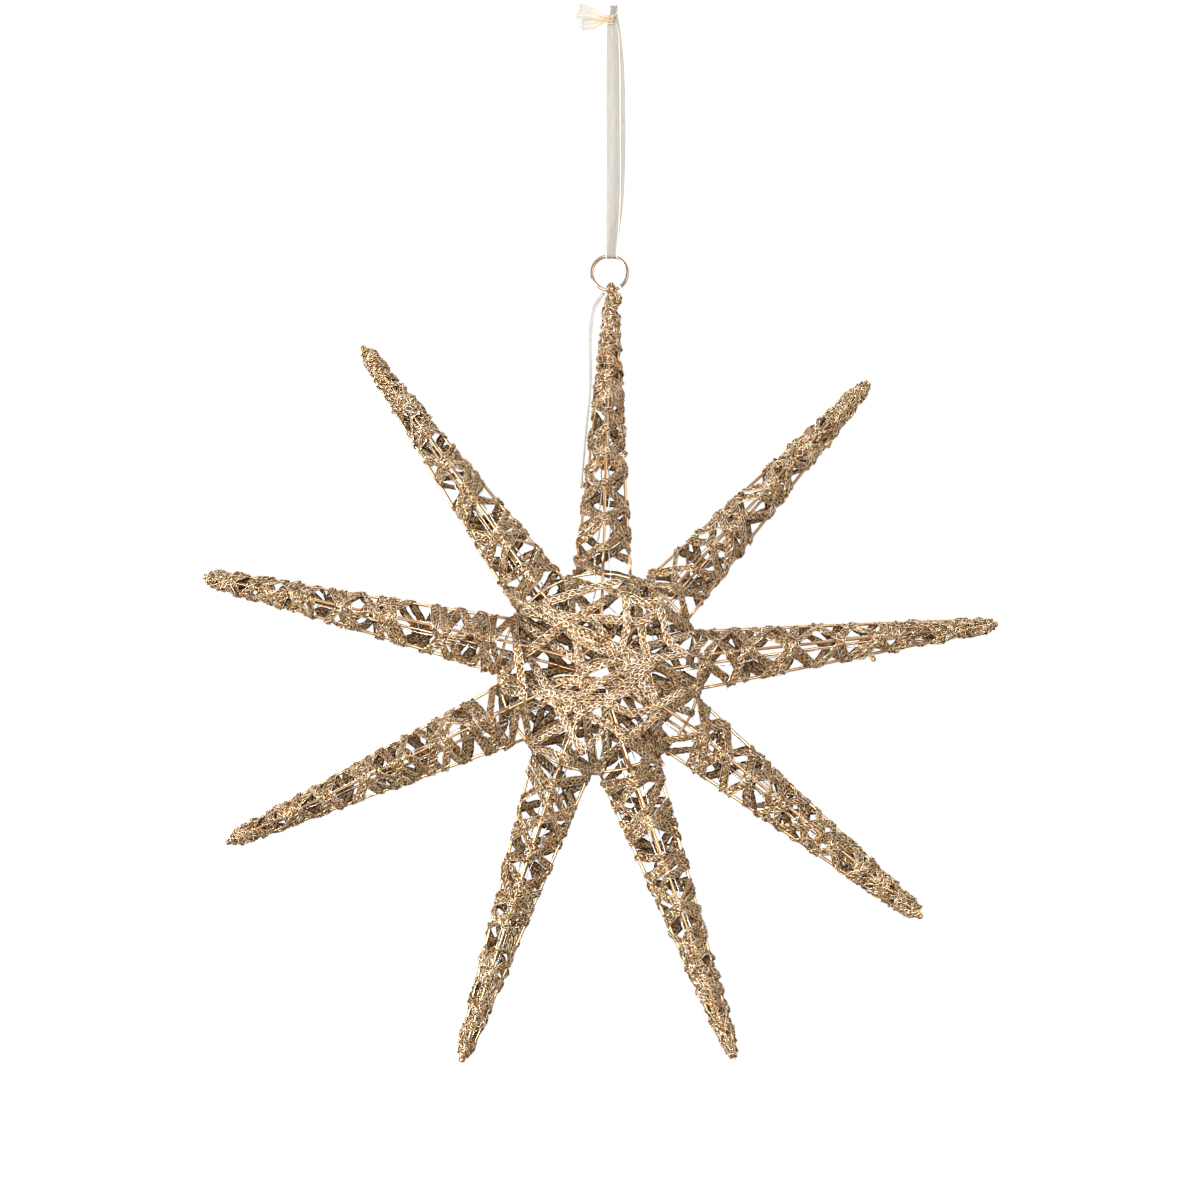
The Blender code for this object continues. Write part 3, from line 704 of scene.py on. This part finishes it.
def strand_over(points, facing, lift, hull):
    """A strand through the flat points, resting on the ridge wires it crosses; ends near the hoop go round it."""
    points = np.asarray(points, float)
    flat = np.column_stack([points[:, 0], np.zeros(len(points)), points[:, 1]])
    p = catmull(flat, 10) if len(points) > 2 else np.linspace(flat[0], flat[1], 60)
    p, s = resample(p, 1.6)
    n = len(p)
    r = np.hypot(p[:, 0], p[:, 2])
    tents = [tent(x, z) for x, _, z in p]
    h = np.array([v[0] for v in tents])
    sector = np.array([v[1] for v in tents])
    ends = [1.0 if r[e] > 56 else h[e] - 1.0 for e in (0, -1)]
    knots = [(s[0], ends[0])]
    for k in range(1, n - 1):
        crossing = (sector[k] != sector[k - 1] and r[k] > 10) or ((r[k] - HUB_RING_R) * (r[k - 1] - HUB_RING_R) < 0)
        if crossing and 3.0 < s[k] < s[-1] - 3.0:
            knots.append((s[k], h[k]))
    knots.append((s[-1], ends[1]))
    if hull:
        out = []
        for k in knots:
            while len(out) > 1 and ((out[-1][1] - out[-2][1]) * (k[0] - out[-2][0])
                                    <= (k[1] - out[-2][1]) * (out[-1][0] - out[-2][0])):
                out.pop()
            out.append(k)
        knots = out
    y = np.interp(s, [k[0] for k in knots], [k[1] for k in knots])
    env = np.ones(n)
    if r[0] > 56:
        env *= np.clip(s / 14.0, 0.15, 1)
    if r[-1] > 56:
        env *= np.clip((s[-1] - s) / 14.0, 0.15, 1)
    y = y + WIRE_R + 0.45 + lift * env
    pts = np.column_stack([p[:, 0], facing * y, p[:, 2]])
    for e in (0, -1):
        if r[e] > 56:                      # tuck round the hoop
            out_dir = unit(np.array([p[e, 0], 0, p[e, 2]]))
            rim = out_dir * HOOP_R
            tuck = np.array([rim + out_dir * 2.0, rim + out_dir * 1.2 - np.array([0, facing * 1.7, 0])])
            pts = np.vstack([tuck[::-1], pts]) if e == 0 else np.vstack([pts, tuck])
    tang = tangents(pts)
    nrm = np.tile(np.array([0.0, float(facing), 0.0]), (len(pts), 1))
    flat_out = unit(np.column_stack([pts[:, 0], np.zeros(len(pts)), pts[:, 2]]))
    nrm = nrm + flat_out * 0.5 * np.clip((np.hypot(pts[:, 0], pts[:, 2]) - 40) / 20, 0, 2)[:, None]
    nrm = unit(nrm - tang * np.sum(nrm * tang, 1, keepdims=True))
    return pts, nrm


def rim(angle, r=HOOP_R):
    return (math.sin(math.radians(angle)) * r, math.cos(math.radians(angle)) * r)


# the strands that lie uppermost in front, mm from the star's centre
FRONT_STRANDS = (
    ((-58.9, 51.1), (-32.9, 32.2), (-9.7, 14.7), (9.8, 6.7)),
    ((-50.4, 31.0), (-29.4, 14.7), (-13.3, 1.8), (-5.4, -3.1)),
    ((-48.1, 39.6), (-33.1, 40.2), (-17.1, 44.1), (-4.2, 48.0), (13.7, 53.4)),
    ((-45.1, 41.3), (-28.6, 33.9), (-13.3, 30.1), (0.7, 29.1), (16.0, 28.3), (27.9, 28.3), (38.8, 37.0)),
    ((15.4, 40.7), (27.1, 39.6), (37.0, 39.6), (48.3, 34.2)),
    ((32.1, 47.3), (36.9, 35.4), (39.5, 26.8), (41.3, 18.4), (44.6, 13.1), (57.3, 3.5)),
    ((60.1, 23.9), (38.5, 16.5), (22.6, 9.2), (10.8, 3.0), (-7.8, -3.4), (-24.2, -14.2), (-41.9, -24.5), (-61.4, -28.9)),
    ((-56.9, 11.4), (-45.6, 7.5), (-40.1, 0.2), (-33.9, -10.5), (-25.7, -23.2), (-19.5, -38.4), (-9.0, -53.7)),
    ((-33.3, -14.8), (-22.4, -17.8), (-9.0, -19.7), (4.3, -19.7), (22.4, -16.0), (35.7, -21.4), (57.3, -26.2)),
    ((9.8, -16.0), (4.3, -21.4), (-9.0, -28.5), (-23.0, -36.6), (-43.1, -45.1)),
    ((0.1, -19.1), (15.9, -28.2), (33.5, -25.2), (52.1, -13.6)),
    ((33.6, 2.4), (13.5, -14.2), (4.3, -22.1), (2.5, -38.0), (3.7, -51.8), (0.1, -60.6)),
    ((15.3, 6.7), (19.6, -1.3), (26.2, -12.3), (36.5, -17.2)),
    ((-36.8, 39.6), (-26.2, 30.8), (-17.0, 22.7), (-4.2, 14.7)),
    ((-42.2, -48.6), (-31.3, -50.9), (-17.0, -58.1), (-4.4, -63.2)),
    ((-17.6, -53.7), (-8.4, -47.9), (-1.1, -42.8), (4.3, -33.1)),
    ((16.0, 44.7), (16.0, 22.1), (10.5, 6.7)),
    ((8.0, -36.8), (15.3, -45.0), (24.5, -51.2), (38.7, -58.6)),
    ((-61.4, -12.5), (-36.3, -17.2), (-18.1, -20.9), (3.1, -23.3)),
    ((55.3, 8.2), (30.5, 3.6), (12.3, -3.8), (-4.8, -14.8), (-24.1, -30.7)),
)

for name, node_name, facing, seed in (("hub_yarn_front", "front_hub_wrap", -1, 41), ("hub_yarn_back", "back_hub_wrap", 1, 77)):
    rng = np.random.default_rng(seed)
    build = Builder()
    strands = [(VALLEY[i], VALLEY[(i + 4) % 9]) for i in (range(9) if facing > 0 else (0, 3, 5, 8))]
    strands += [(VALLEY[i], VALLEY[(i + 3) % 9]) for i in ((0, 1, 3, 4, 6, 7, 8) if facing > 0 else (1, 4, 7))]
    strands += [(VALLEY[i], VALLEY[(i + 2) % 9]) for i in ((0, 3, 6) if facing < 0 else (1, 3, 5, 7))]
    order = rng.permutation(len(strands))
    under = 1.4 if facing < 0 else 2.4
    for rank, j in enumerate(order):
        a0, a1 = strands[j]
        pts, nrm = strand_over((rim(a0 + rng.normal(0, 2.5)), rim(a1 + rng.normal(0, 2.5))), facing,
                               under * rank / len(order), True)
        total += tape(build, pts, nrm, rng)
    if facing < 0:
        # the uppermost strands take slot 2, the yarn painted lighter as if lit
        for rank, line in enumerate(FRONT_STRANDS):
            pts, nrm = strand_over(line, facing, 1.8 + 1.6 * ((rank * 7) % 20) / 20, False)
            total += tape(build, pts, nrm, rng, 0.92, 0.16, 2)
    piece = build.build(name, YARNS)
    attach(piece, "root")
    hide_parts(node_name)

# turns round the hoop in the valleys, where the strands are tied off
build = Builder()
for i, v in enumerate(VALLEY):
    rng = np.random.default_rng(700 + i)
    turns = 2.3 + rng.uniform(0, 1.2)
    t = np.linspace(0, 2 * np.pi * turns, int(30 * turns))
    a = np.radians(v + np.linspace(-2.6, 2.6, len(t)) * rng.uniform(0.8, 1.2) + 0.5 * np.sin(t * 0.37))
    outd = np.column_stack([np.sin(a), np.zeros(len(t)), np.cos(a)])
    y = np.array([[0.0, 1.0, 0.0]])
    nrm = outd * np.cos(t)[:, None] + y * np.sin(t)[:, None]
    total += tape(build, outd * HOOP_R + nrm * (1.45 + 0.5 * rng.random()), nrm, rng, 0.9)
piece = build.build("hoop_ties", YARNS)
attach(piece, "root")

TOTAL_YARN = total


# ------------------------------------------------------------------ frame wires
def circle(centre, radius, n, axis_y=True):
    a = np.arange(n) * 2 * np.pi / n
    return centre + np.stack([radius * np.sin(a), np.zeros(n), radius * np.cos(a)], 1)


def closed_tube(builder, p, radius, sides=10):
    t = unit(np.roll(p, -1, 0) - np.roll(p, 1, 0))
    n = np.tile(np.array([0.0, 1.0, 0.0]), (len(p), 1))
    b = np.cross(t, n)
    a = np.arange(sides) * 2 * np.pi / sides
    ring = n[:, None] * np.cos(a)[None, :, None] + b[:, None] * np.sin(a)[None, :, None]
    v = p[:, None] + ring * radius
    idx = np.arange(len(p) * sides).reshape(len(p), sides)
    c, d = idx, np.roll(idx, -1, 0)
    q = np.stack([c, np.roll(c, -1, 1), np.roll(d, -1, 1), d], -1).reshape(-1, 4)
    builder.add(v.reshape(-1, 3), q)


build = Builder()
closed_tube(build, circle(np.zeros(3), HOOP_R, 120), WIRE_R, 12)
hoop = build.build("hoop_wire", COPPER)
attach(hoop, "root")
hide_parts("hoop")

for name, node_name, facing in (("hub_ring_front", "front_hub", -1), ("hub_ring_back", "back_hub", 1)):
    build = Builder()
    y = facing * (TIP_HALF + (HALF_DEPTH - TIP_HALF) * (1 - HUB_RING_R / 250))
    closed_tube(build, circle(np.array([0, y, 0]), HUB_RING_R, 48), WIRE_R, 12)
    for i, ray in enumerate(rays):
        rng = np.random.default_rng(300 + i + 20 * facing)
        w = 3 if facing < 0 else 1
        s = np.linspace(HUB_RING_R, 62.5, 12)
        p = np.array([ray.wire(w, x) for x in s])
        tube(build, p, WIRE_R, 12)
    piece = build.build(name, COPPER)
    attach(piece, "root")
    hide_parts(node_name)

for i, ray in enumerate(rays):
    rng = np.random.default_rng(400 + i)
    build = Builder()
    for w in range(4):
        s0 = 59.5 if w % 2 == 0 else 62.5
        s = np.r_[np.linspace(s0, ray.length - 12, 20), np.linspace(ray.length - 11, ray.length - 1.2 - 0.8 * (w % 2), 8)]
        p = np.array([ray.wire(w, x) for x in s])
        bow = np.sin(np.linspace(0, np.pi, 28)) * rng.normal(0, 0.4)
        p = p + ray.side * bow[:, None]
        tube(build, p, WIRE_R, 12)
    # the weld that joins the four wires at the tip
    s = np.linspace(ray.length - 5.0, ray.length, 12)
    prof = 1.75 * np.sqrt(np.clip(1 - ((s - (ray.length - 2.0)) / 3.1) ** 2, 0.02, 1))
    prof[-1] = 0.5
    tube(build, ray.axis[None] * s[:, None], prof * (1 + 0.08 * rng.normal(size=12)), 12)
    piece = build.build(f"ray_wires_{i + 1}", COPPER)
    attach(piece, "root")
    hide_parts(f"ray_frame_{i + 1}")


# ------------------------------------------------------------------ hanging ring and its yarn knob
build = Builder()
gap = math.radians(146.0)
a = np.linspace(gap + 0.03, gap + 2 * np.pi - 0.03, 110)
ringp = RING_CENTRE + np.stack([RING_R * np.sin(a), 0.25 * np.sin(a - gap) * 0, RING_R * np.cos(a)], 1)
tube(build, ringp, RING_WIRE_R, 14)
ring = build.build("ring", RING_MAT)
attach(ring, "root")
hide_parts("hanging_ring")

build = Builder()
rng = np.random.default_rng(9)
lean = math.radians(7.0)
foot = RING_CENTRE + np.array([math.sin(lean), 0, -math.cos(lean)]) * RING_R
along = np.array([math.cos(lean), 0, math.sin(lean)])
down = np.array([math.sin(lean), 0, -math.cos(lean)])
t = np.linspace(0, 2 * np.pi * 2.6, 60)
knob = (foot + along[None] * (np.linspace(-1.1, 1.3, 60))[:, None]
        + (down[None] * (-np.cos(t))[:, None] + np.array([[0, 1.0, 0]]) * np.sin(t)[:, None]) * 2.1)
knob[:, 2] -= 0.5
nrm = unit(down[None] * (-np.cos(t))[:, None] + np.array([[0, 1.0, 0]]) * np.sin(t)[:, None])
tape(build, knob, nrm, rng, 0.72)
# crossing ties between the knob and the tip of the ray
for side in (-1, 1):
    q = np.array([foot + np.array([side * 1.8, -2.2, 0.6]), foot + np.array([-side * 0.4, -2.7, -2.6]),
                  foot + np.array([-side * 2.6, -2.0, -6.0]), foot + np.array([-side * 2.4, 1.4, -8.0])])
    q = catmull(q, 8)
    nn = np.tile(np.array([0.0, -1.0, 0.0]), (len(q), 1))
    tape(build, q, nn, rng, 0.85)
# the turn left slack on the right of the tip, and the loop drawn up over the ring
slack = catmull(((8.4, -2.6, 244.0), (11.0, -3.0, 242.2), (12.5, -2.4, 239.2), (10.6, -2.8, 236.2), (7.6, -3.4, 234.8)), 8)
tape(build, slack, np.tile(np.array([0.25, -1.0, 0.0]), (len(slack), 1)), rng, 0.8)
drawn = catmull(((5.6, -2.6, 243.6), (5.9, -2.9, 248.2), (7.2, -1.6, 250.4), (8.6, -2.9, 248.0), (8.8, -2.6, 243.4)), 8)
tape(build, drawn, np.tile(np.array([0.0, -1.0, 0.2]), (len(drawn), 1)), rng, 0.5)
# slot 1 is the ground painted dark as shade
piece = build.build("ring_knob", [YARN_KNOB, PAINTED_SHADE_GROUND, YARN_KNOB])
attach(piece, "root")
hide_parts("ring_binding")


# ------------------------------------------------------------------ light string
LAMPS = []      # (position, direction)
build = Builder()
chips = Builder()
drops = Builder()


def ellipsoid(builder, centre, axis, half_len, radius, sides=10, stations=8):
    t = np.linspace(0.02, np.pi - 0.02, stations)
    p = centre[None] - axis[None] * (np.cos(t) * half_len)[:, None]
    tube(builder, p, radius * np.sin(t) + 0.02, sides)


def lamp(centre, axis):
    ellipsoid(drops, centre, axis, 2.4, 1.35, 12, 9)
    ellipsoid(chips, centre, axis, 0.85, 0.55, 8, 6)


string_lamps = {7: ((96.7, -1.5), (154.0, 1.2)), 2: ((228.0, 0.3),)}
for i, ray in enumerate(rays):
    rng = np.random.default_rng(500 + i)
    width = lambda s: 0.32 * EDGE_SLOPE * (ray.length - s)
    turn = ray.length - 24
    lanes = []
    for sign in (-1, 1):
        s = np.linspace(44, turn, 22)
        lat = sign * (width(s) + np.clip(rng.normal(0, 1.4, 22) * (ray.length - s) / 200, -3, 3))
        dep = 1.5 * (ray.length - s) / 200 + rng.normal(0, 2.2, 22) * (ray.length - s) / 200
        p = np.array([ray.middle(x) for x in s]) + ray.side[None] * lat[:, None] + np.array([[0, 1.0, 0]]) * dep[:, None]
        lanes.append(blur(p, 1))
    out, back = lanes
    nxt = rays[(i + 1) % 9]
    loop = np.vstack([out, ray.axis[None] * (turn + 1.6), back[::-1]])
    path = catmull(loop, 3)
    tube(build, path, 0.3, 6)
    shift = np.array([0, 0.75, 0])
    tube(build, path + shift + 0.35 * np.sin(np.arange(len(path)) * 0.5)[:, None] * ray.side, 0.3, 6)
    join0, join1 = back[0], nxt.axis * 44 - nxt.side * 0.32 * EDGE_SLOPE * (nxt.length - 44)
    arc = catmull(np.array([join0, (join0 + join1) / 2 * 0.92 + np.array([0, rng.normal(0, 4), 0]), join1]), 8)
    tube(build, arc, 0.3, 6)
    if i in string_lamps:
        spots = string_lamps[i]
    else:
        spots = ((92 + rng.uniform(-6, 6), -0.8), (150 + rng.uniform(-10, 10), 1.5))
    for s, lat in spots:
        lamp(ray.middle(s) + ray.side * lat + np.array([0, -0.12 * (ray.length - s) * 0.3, 0]), ray.axis)
for p in ((-19.2, -9.0, -3.3), (25.8, -9.0, 32.9)):
    lamp(np.array(p), unit(np.array([1.0, 0.2, 0.8])))
string = build.build("string_wires", SILVER)
for ob, slot_name in ((string, "light_wire"),):
    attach(ob, "root")
    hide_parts("light_string")
for ob in (drops.build("string_lamps", LAMP), chips.build("string_chips", PHOSPHOR)):
    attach(ob, "root")


# ------------------------------------------------------------------ ribbon
FRONT = ((7.7, -5.2, 427.6, 4.0), (7.8, -4.9, 424.0, 6.6), (8.2, -5.0, 415.0, 8.8), (8.4, -5.4, 392.0, 9.9),
         (8.5, -5.6, 350.0, 10.0), (8.5, -5.2, 312.0, 10.0), (8.0, -4.2, 290.0, 9.2), (7.4, -2.6, 275.0, 7.8))
BACK = ((7.7, 2.6, 275.0, 7.6), (9.4, 4.2, 290.0, 8.8), (11.4, 5.2, 312.0, 9.6), (12.6, 5.6, 346.0, 9.6),
        (12.5, 5.6, 380.0, 9.4), (11.8, 5.2, 408.0, 8.4), (10.6, 4.4, 426.0, 6.4), (9.8, 3.8, 433.0, 5.4))


def ribbon_stations():
    st = list(FRONT)
    top = RING_CENTRE[2] + RING_R
    for k in range(1, 8):
        a = math.pi * k / 8
        st.append((7.4, -1.75 * math.cos(a), top - 1.75 * math.sin(a), 7.2))
    st += list(BACK)
    for k in range(0, 9):
        a = math.pi * k / 8
        st.append((9.5 - 0.5 * k / 8, 3.2 * math.cos(a), 436.2 + 3.2 * math.sin(a), 5.0))
    st += [(8.5, -4.0, 432.6, 4.4), (7.9, -4.6, 429.0, 3.8)]
    return np.array(st)


def ribbon_mesh(name, stations, across_dirs=None, thickness=0.16, folds=3.0, cup=0.5, seed=1, gather=None, per=7, cols=14):
    """A soft strip through the stations, gently pleated where it is gathered narrower than 10 mm."""
    rng = np.random.default_rng(seed)
    fine = catmull(stations, per)
    p, w = fine[:, :3], fine[:, 3]
    t = tangents(p)
    u = np.linspace(-0.5, 0.5, cols)
    across = np.tile(np.array([1.0, 0, 0]), (len(p), 1)) if across_dirs is None else across_dirs
    across = unit(across - t * np.sum(across * t, 1, keepdims=True))
    nrm = np.cross(t, across)
    d = np.r_[0, np.cumsum(np.linalg.norm(np.diff(p, axis=0), axis=1))]
    pleat = np.clip((10.2 - w) / 5.0, 0.0, 1.0)
    phase = wander(rng, d, 40.0, 0.8)
    wave = np.sin(2 * np.pi * folds * u[None, :] + phase[:, None]) * (0.05 + 0.5 * pleat[:, None])
    bow = cup * (1 - 4 * u[None, :] ** 2) * (1 - pleat[:, None]) * np.sin(d / 37.0)[:, None]
    mid = p[:, None] + across[:, None] * (u[None, :, None] * w[:, None, None]) + nrm[:, None] * (wave + bow)[..., None]
    n, c = mid.shape[:2]
    surf_n = np.cross(np.gradient(mid, axis=0), np.gradient(mid, axis=1))
    surf_n = unit(surf_n)
    top = mid + surf_n * thickness / 2
    bot = mid - surf_n * thickness / 2
    ring = np.concatenate([top, bot[:, ::-1]], 1)
    idx = np.arange(n * 2 * c).reshape(n, 2 * c)
    a, b = idx[:-1], idx[1:]
    quads = np.stack([a, b, np.roll(b, -1, 1), np.roll(a, -1, 1)], -1).reshape(-1, 4)
    caps = []
    for row, flip in ((idx[0], False), (idx[-1], True)):
        for j in range(c - 1):
            f = [row[j], row[j + 1], row[2 * c - 2 - j], row[2 * c - 1 - j]]
            caps.append(f[::-1] if flip else f)
    quads = np.concatenate([quads, np.array(caps)])
    uu = np.concatenate([u + 0.5, (u + 0.5)[::-1]])
    uv = np.stack([np.broadcast_to(uu[None], (n, 2 * c)), np.broadcast_to((d / 10.0)[:, None], (n, 2 * c))], -1)
    return ring.reshape(-1, 3), quads, uv.reshape(-1, 2), d[-1]


verts, quads, uvs, ribbon_len = ribbon_mesh("ribbon_loop", ribbon_stations(), seed=3)
ribbon = mesh_object("ribbon_loop", verts, quads, ORGANZA, uvs)
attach(ribbon, "root")
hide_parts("ribbon")

# knot: a short wrap of the same ribbon round the front strand
t = np.linspace(-0.15, 2 * math.pi + 0.4, 26)
kp = np.stack([7.7 + 2.0 * np.cos(t), -4.8 - 1.8 * np.sin(t), 427.3 + 0.5 * np.cos(t + 0.5)], 1)
st = np.column_stack([kp, np.full(len(kp), 5.4) + 0.6 * np.sin(t)])
across = np.tile(np.array([0.25, 0.0, 1.0]), ((len(kp) - 1) * 2 + 1, 1))
verts, quads, uvs, _ = ribbon_mesh("ribbon_knot", st, across, folds=2.5, seed=5, per=2, cols=14)
knot = mesh_object("ribbon_knot", verts, quads, TIED, uvs)

# tails: two cut ends to the left, gathered at the knot and fraying where they are cut
tails = []
fray = Builder()
for k, (tail, direction) in enumerate((
        (((6.4, -6.4, 428.0, 4.4), (3.0, -6.8, 427.9, 4.6), (0.2, -7.0, 428.4, 5.4), (-4.5, -7.1, 430.4, 7.8),
          (-9.5, -6.6, 432.0, 9.6), (-13.4, -6.0, 433.2, 10.4)), (0.34, 0.1, 1.0)),
        (((6.4, -5.9, 427.0, 4.0), (3.0, -5.8, 426.8, 4.4), (0.2, -5.4, 426.2, 5.0), (-3.5, -4.9, 425.2, 7.2),
          (-7.5, -4.4, 424.9, 8.4), (-11.0, -4.2, 425.0, 9.4)), (-0.30, 0.2, 1.0)))):
    rng = np.random.default_rng(60 + k)
    st = np.array(tail)
    across = np.tile(np.array(direction), ((len(st) - 1) * 7 + 1, 1))
    verts, quads, uvs, length = ribbon_mesh(f"ribbon_tail_{k + 1}", st, across, folds=1.6 + k, seed=8 + k)
    ob = mesh_object(f"ribbon_tail_{k + 1}", verts, quads, TAIL, uvs)
    tails.append((ob, length))
    last = verts.reshape(-1, 28, 3)[-1, :14]           # the cut edge, then short loose threads off it
    for q in range(26):
        f = rng.uniform(0, 12.99)
        start = last[int(f)] * (1 - f % 1) + last[int(f) + 1] * (f % 1)
        way = unit(np.array([-1.0, rng.normal(0, 0.25), rng.normal(0.05, 0.45)]))
        bend = rng.normal(0, 0.4, 3)
        reach = rng.uniform(0.6, 2.2)
        tube(fray, np.array([start - way * 0.6, start + way * reach * 0.5, start + way * reach + bend * reach * 0.3]),
             (0.07, 0.07, 0.05), 5)
piece = fray.build("ribbon_fray", TAIL)
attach(piece, "root")
for ob in [knot] + [x for x, _ in tails]:
    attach(ob, "root")


# ------------------------------------------------------------------ floor, lights, world
floor_mat, nt, bsdf, out = new_material("floor")
grain = node(nt, "ShaderNodeTexNoise", Scale=3.0, Detail=2.0)
col = ramp(nt, [(0.0, (0.90, 0.90, 0.90)), (1.0, (0.93, 0.93, 0.93))], grain.outputs[0])
nt.links.new(col.outputs[0], bsdf.inputs["Base Color"])
bsdf.inputs["Roughness"].default_value = 0.9
bsdf.inputs["Emission Color"].default_value = (1.0, 1.0, 1.0, 1.0)
bsdf.inputs["Emission Strength"].default_value = 0.72
fm = bpy.data.meshes.new("floor")
fm.from_pydata([(-60, -60, -3.2), (60, -60, -3.2), (60, 60, -3.2), (-60, 60, -3.2)], [], [(0, 1, 2, 3)])
fm.materials.append(floor_mat)
floor = bpy.data.objects.new("floor", fm)
bpy.context.scene.collection.objects.link(floor)
floor.visible_diffuse = False
floor.visible_glossy = False
floor.visible_transmission = False


def area(name, location, aim, size, power, colour=(1, 1, 1)):
    data = bpy.data.lights.new(name, 'AREA')
    data.shape = 'RECTANGLE'
    data.size, data.size_y = size
    data.energy = power
    data.color = colour
    ob = bpy.data.objects.new(name, data)
    ob.location = location
    ob.rotation_euler = (Vector(aim) - Vector(location)).to_track_quat('-Z', 'Y').to_euler()
    bpy.context.scene.collection.objects.link(ob)
    return ob


aim = (0.0, 0.0, -0.44)
area("key", (-1.45, -1.35, -0.75), aim, (0.5, 0.5), 52, (1.0, 0.985, 0.955))
area("front", (-0.08, -1.62, -0.52), aim, (0.3, 0.3), 27)
area("fill", (1.4, -1.2, 0.05), aim, (0.8, 0.9), 17)
area("top", (0.1, 0.4, 1.2), aim, (0.8, 0.8), 8)
area("back", (-0.6, 1.7, 0.1), aim, (0.9, 0.9), 44)

world = bpy.data.worlds.new("world")
bpy.context.scene.world = world
world.use_nodes = True
wn = world.node_tree
for n in list(wn.nodes):
    wn.nodes.remove(n)
wo = wn.nodes.new("ShaderNodeOutputWorld")
seen = wn.nodes.new("ShaderNodeBackground")
seen.inputs[0].default_value = (1, 1, 1, 1)
seen.inputs[1].default_value = 1.0
light = wn.nodes.new("ShaderNodeBackground")
light.inputs[1].default_value = 0.78
co = wn.nodes.new("ShaderNodeTexCoord")
sep = wn.nodes.new("ShaderNodeSeparateXYZ")
wn.links.new(co.outputs["Generated"], sep.inputs[0])
# a plain studio: pale above, dimmer low down, with soft panels that the metal can pick up
grad = ramp(wn, [(0.0, (0.57, 0.505, 0.43)), (0.35, (0.64, 0.585, 0.52)), (0.60, (0.86, 0.86, 0.85)),
                 (1.0, (1.0, 1.0, 1.0))], sep.outputs[2])
half = wn.nodes.new("ShaderNodeMath")
half.operation = 'MULTIPLY_ADD'
half.inputs[1].default_value = 0.5
half.inputs[2].default_value = 0.5
wn.links.new(sep.outputs[2], half.inputs[0])
wn.links.new(half.outputs[0], grad.inputs[0])
wn.links.new(grad.outputs[0], light.inputs[0])
path_node = wn.nodes.new("ShaderNodeLightPath")
mixs = wn.nodes.new("ShaderNodeMixShader")
wn.links.new(path_node.outputs["Is Camera Ray"], mixs.inputs[0])
wn.links.new(light.outputs[0], mixs.inputs[1])
wn.links.new(seen.outputs[0], mixs.inputs[2])
wn.links.new(mixs.outputs[0], wo.inputs[0])

bpy.context.scene.view_settings.view_transform = 'Standard'

tris = {o.name: sum(len(f.vertices) - 2 for f in o.data.polygons) for o in bpy.data.objects
        if o.type == 'MESH' and not o.hide_render}
print("yarn", round(TOTAL_YARN / 1000, 2), "m; triangles", sum(tris.values()), "most in one piece", max(tris.values()))
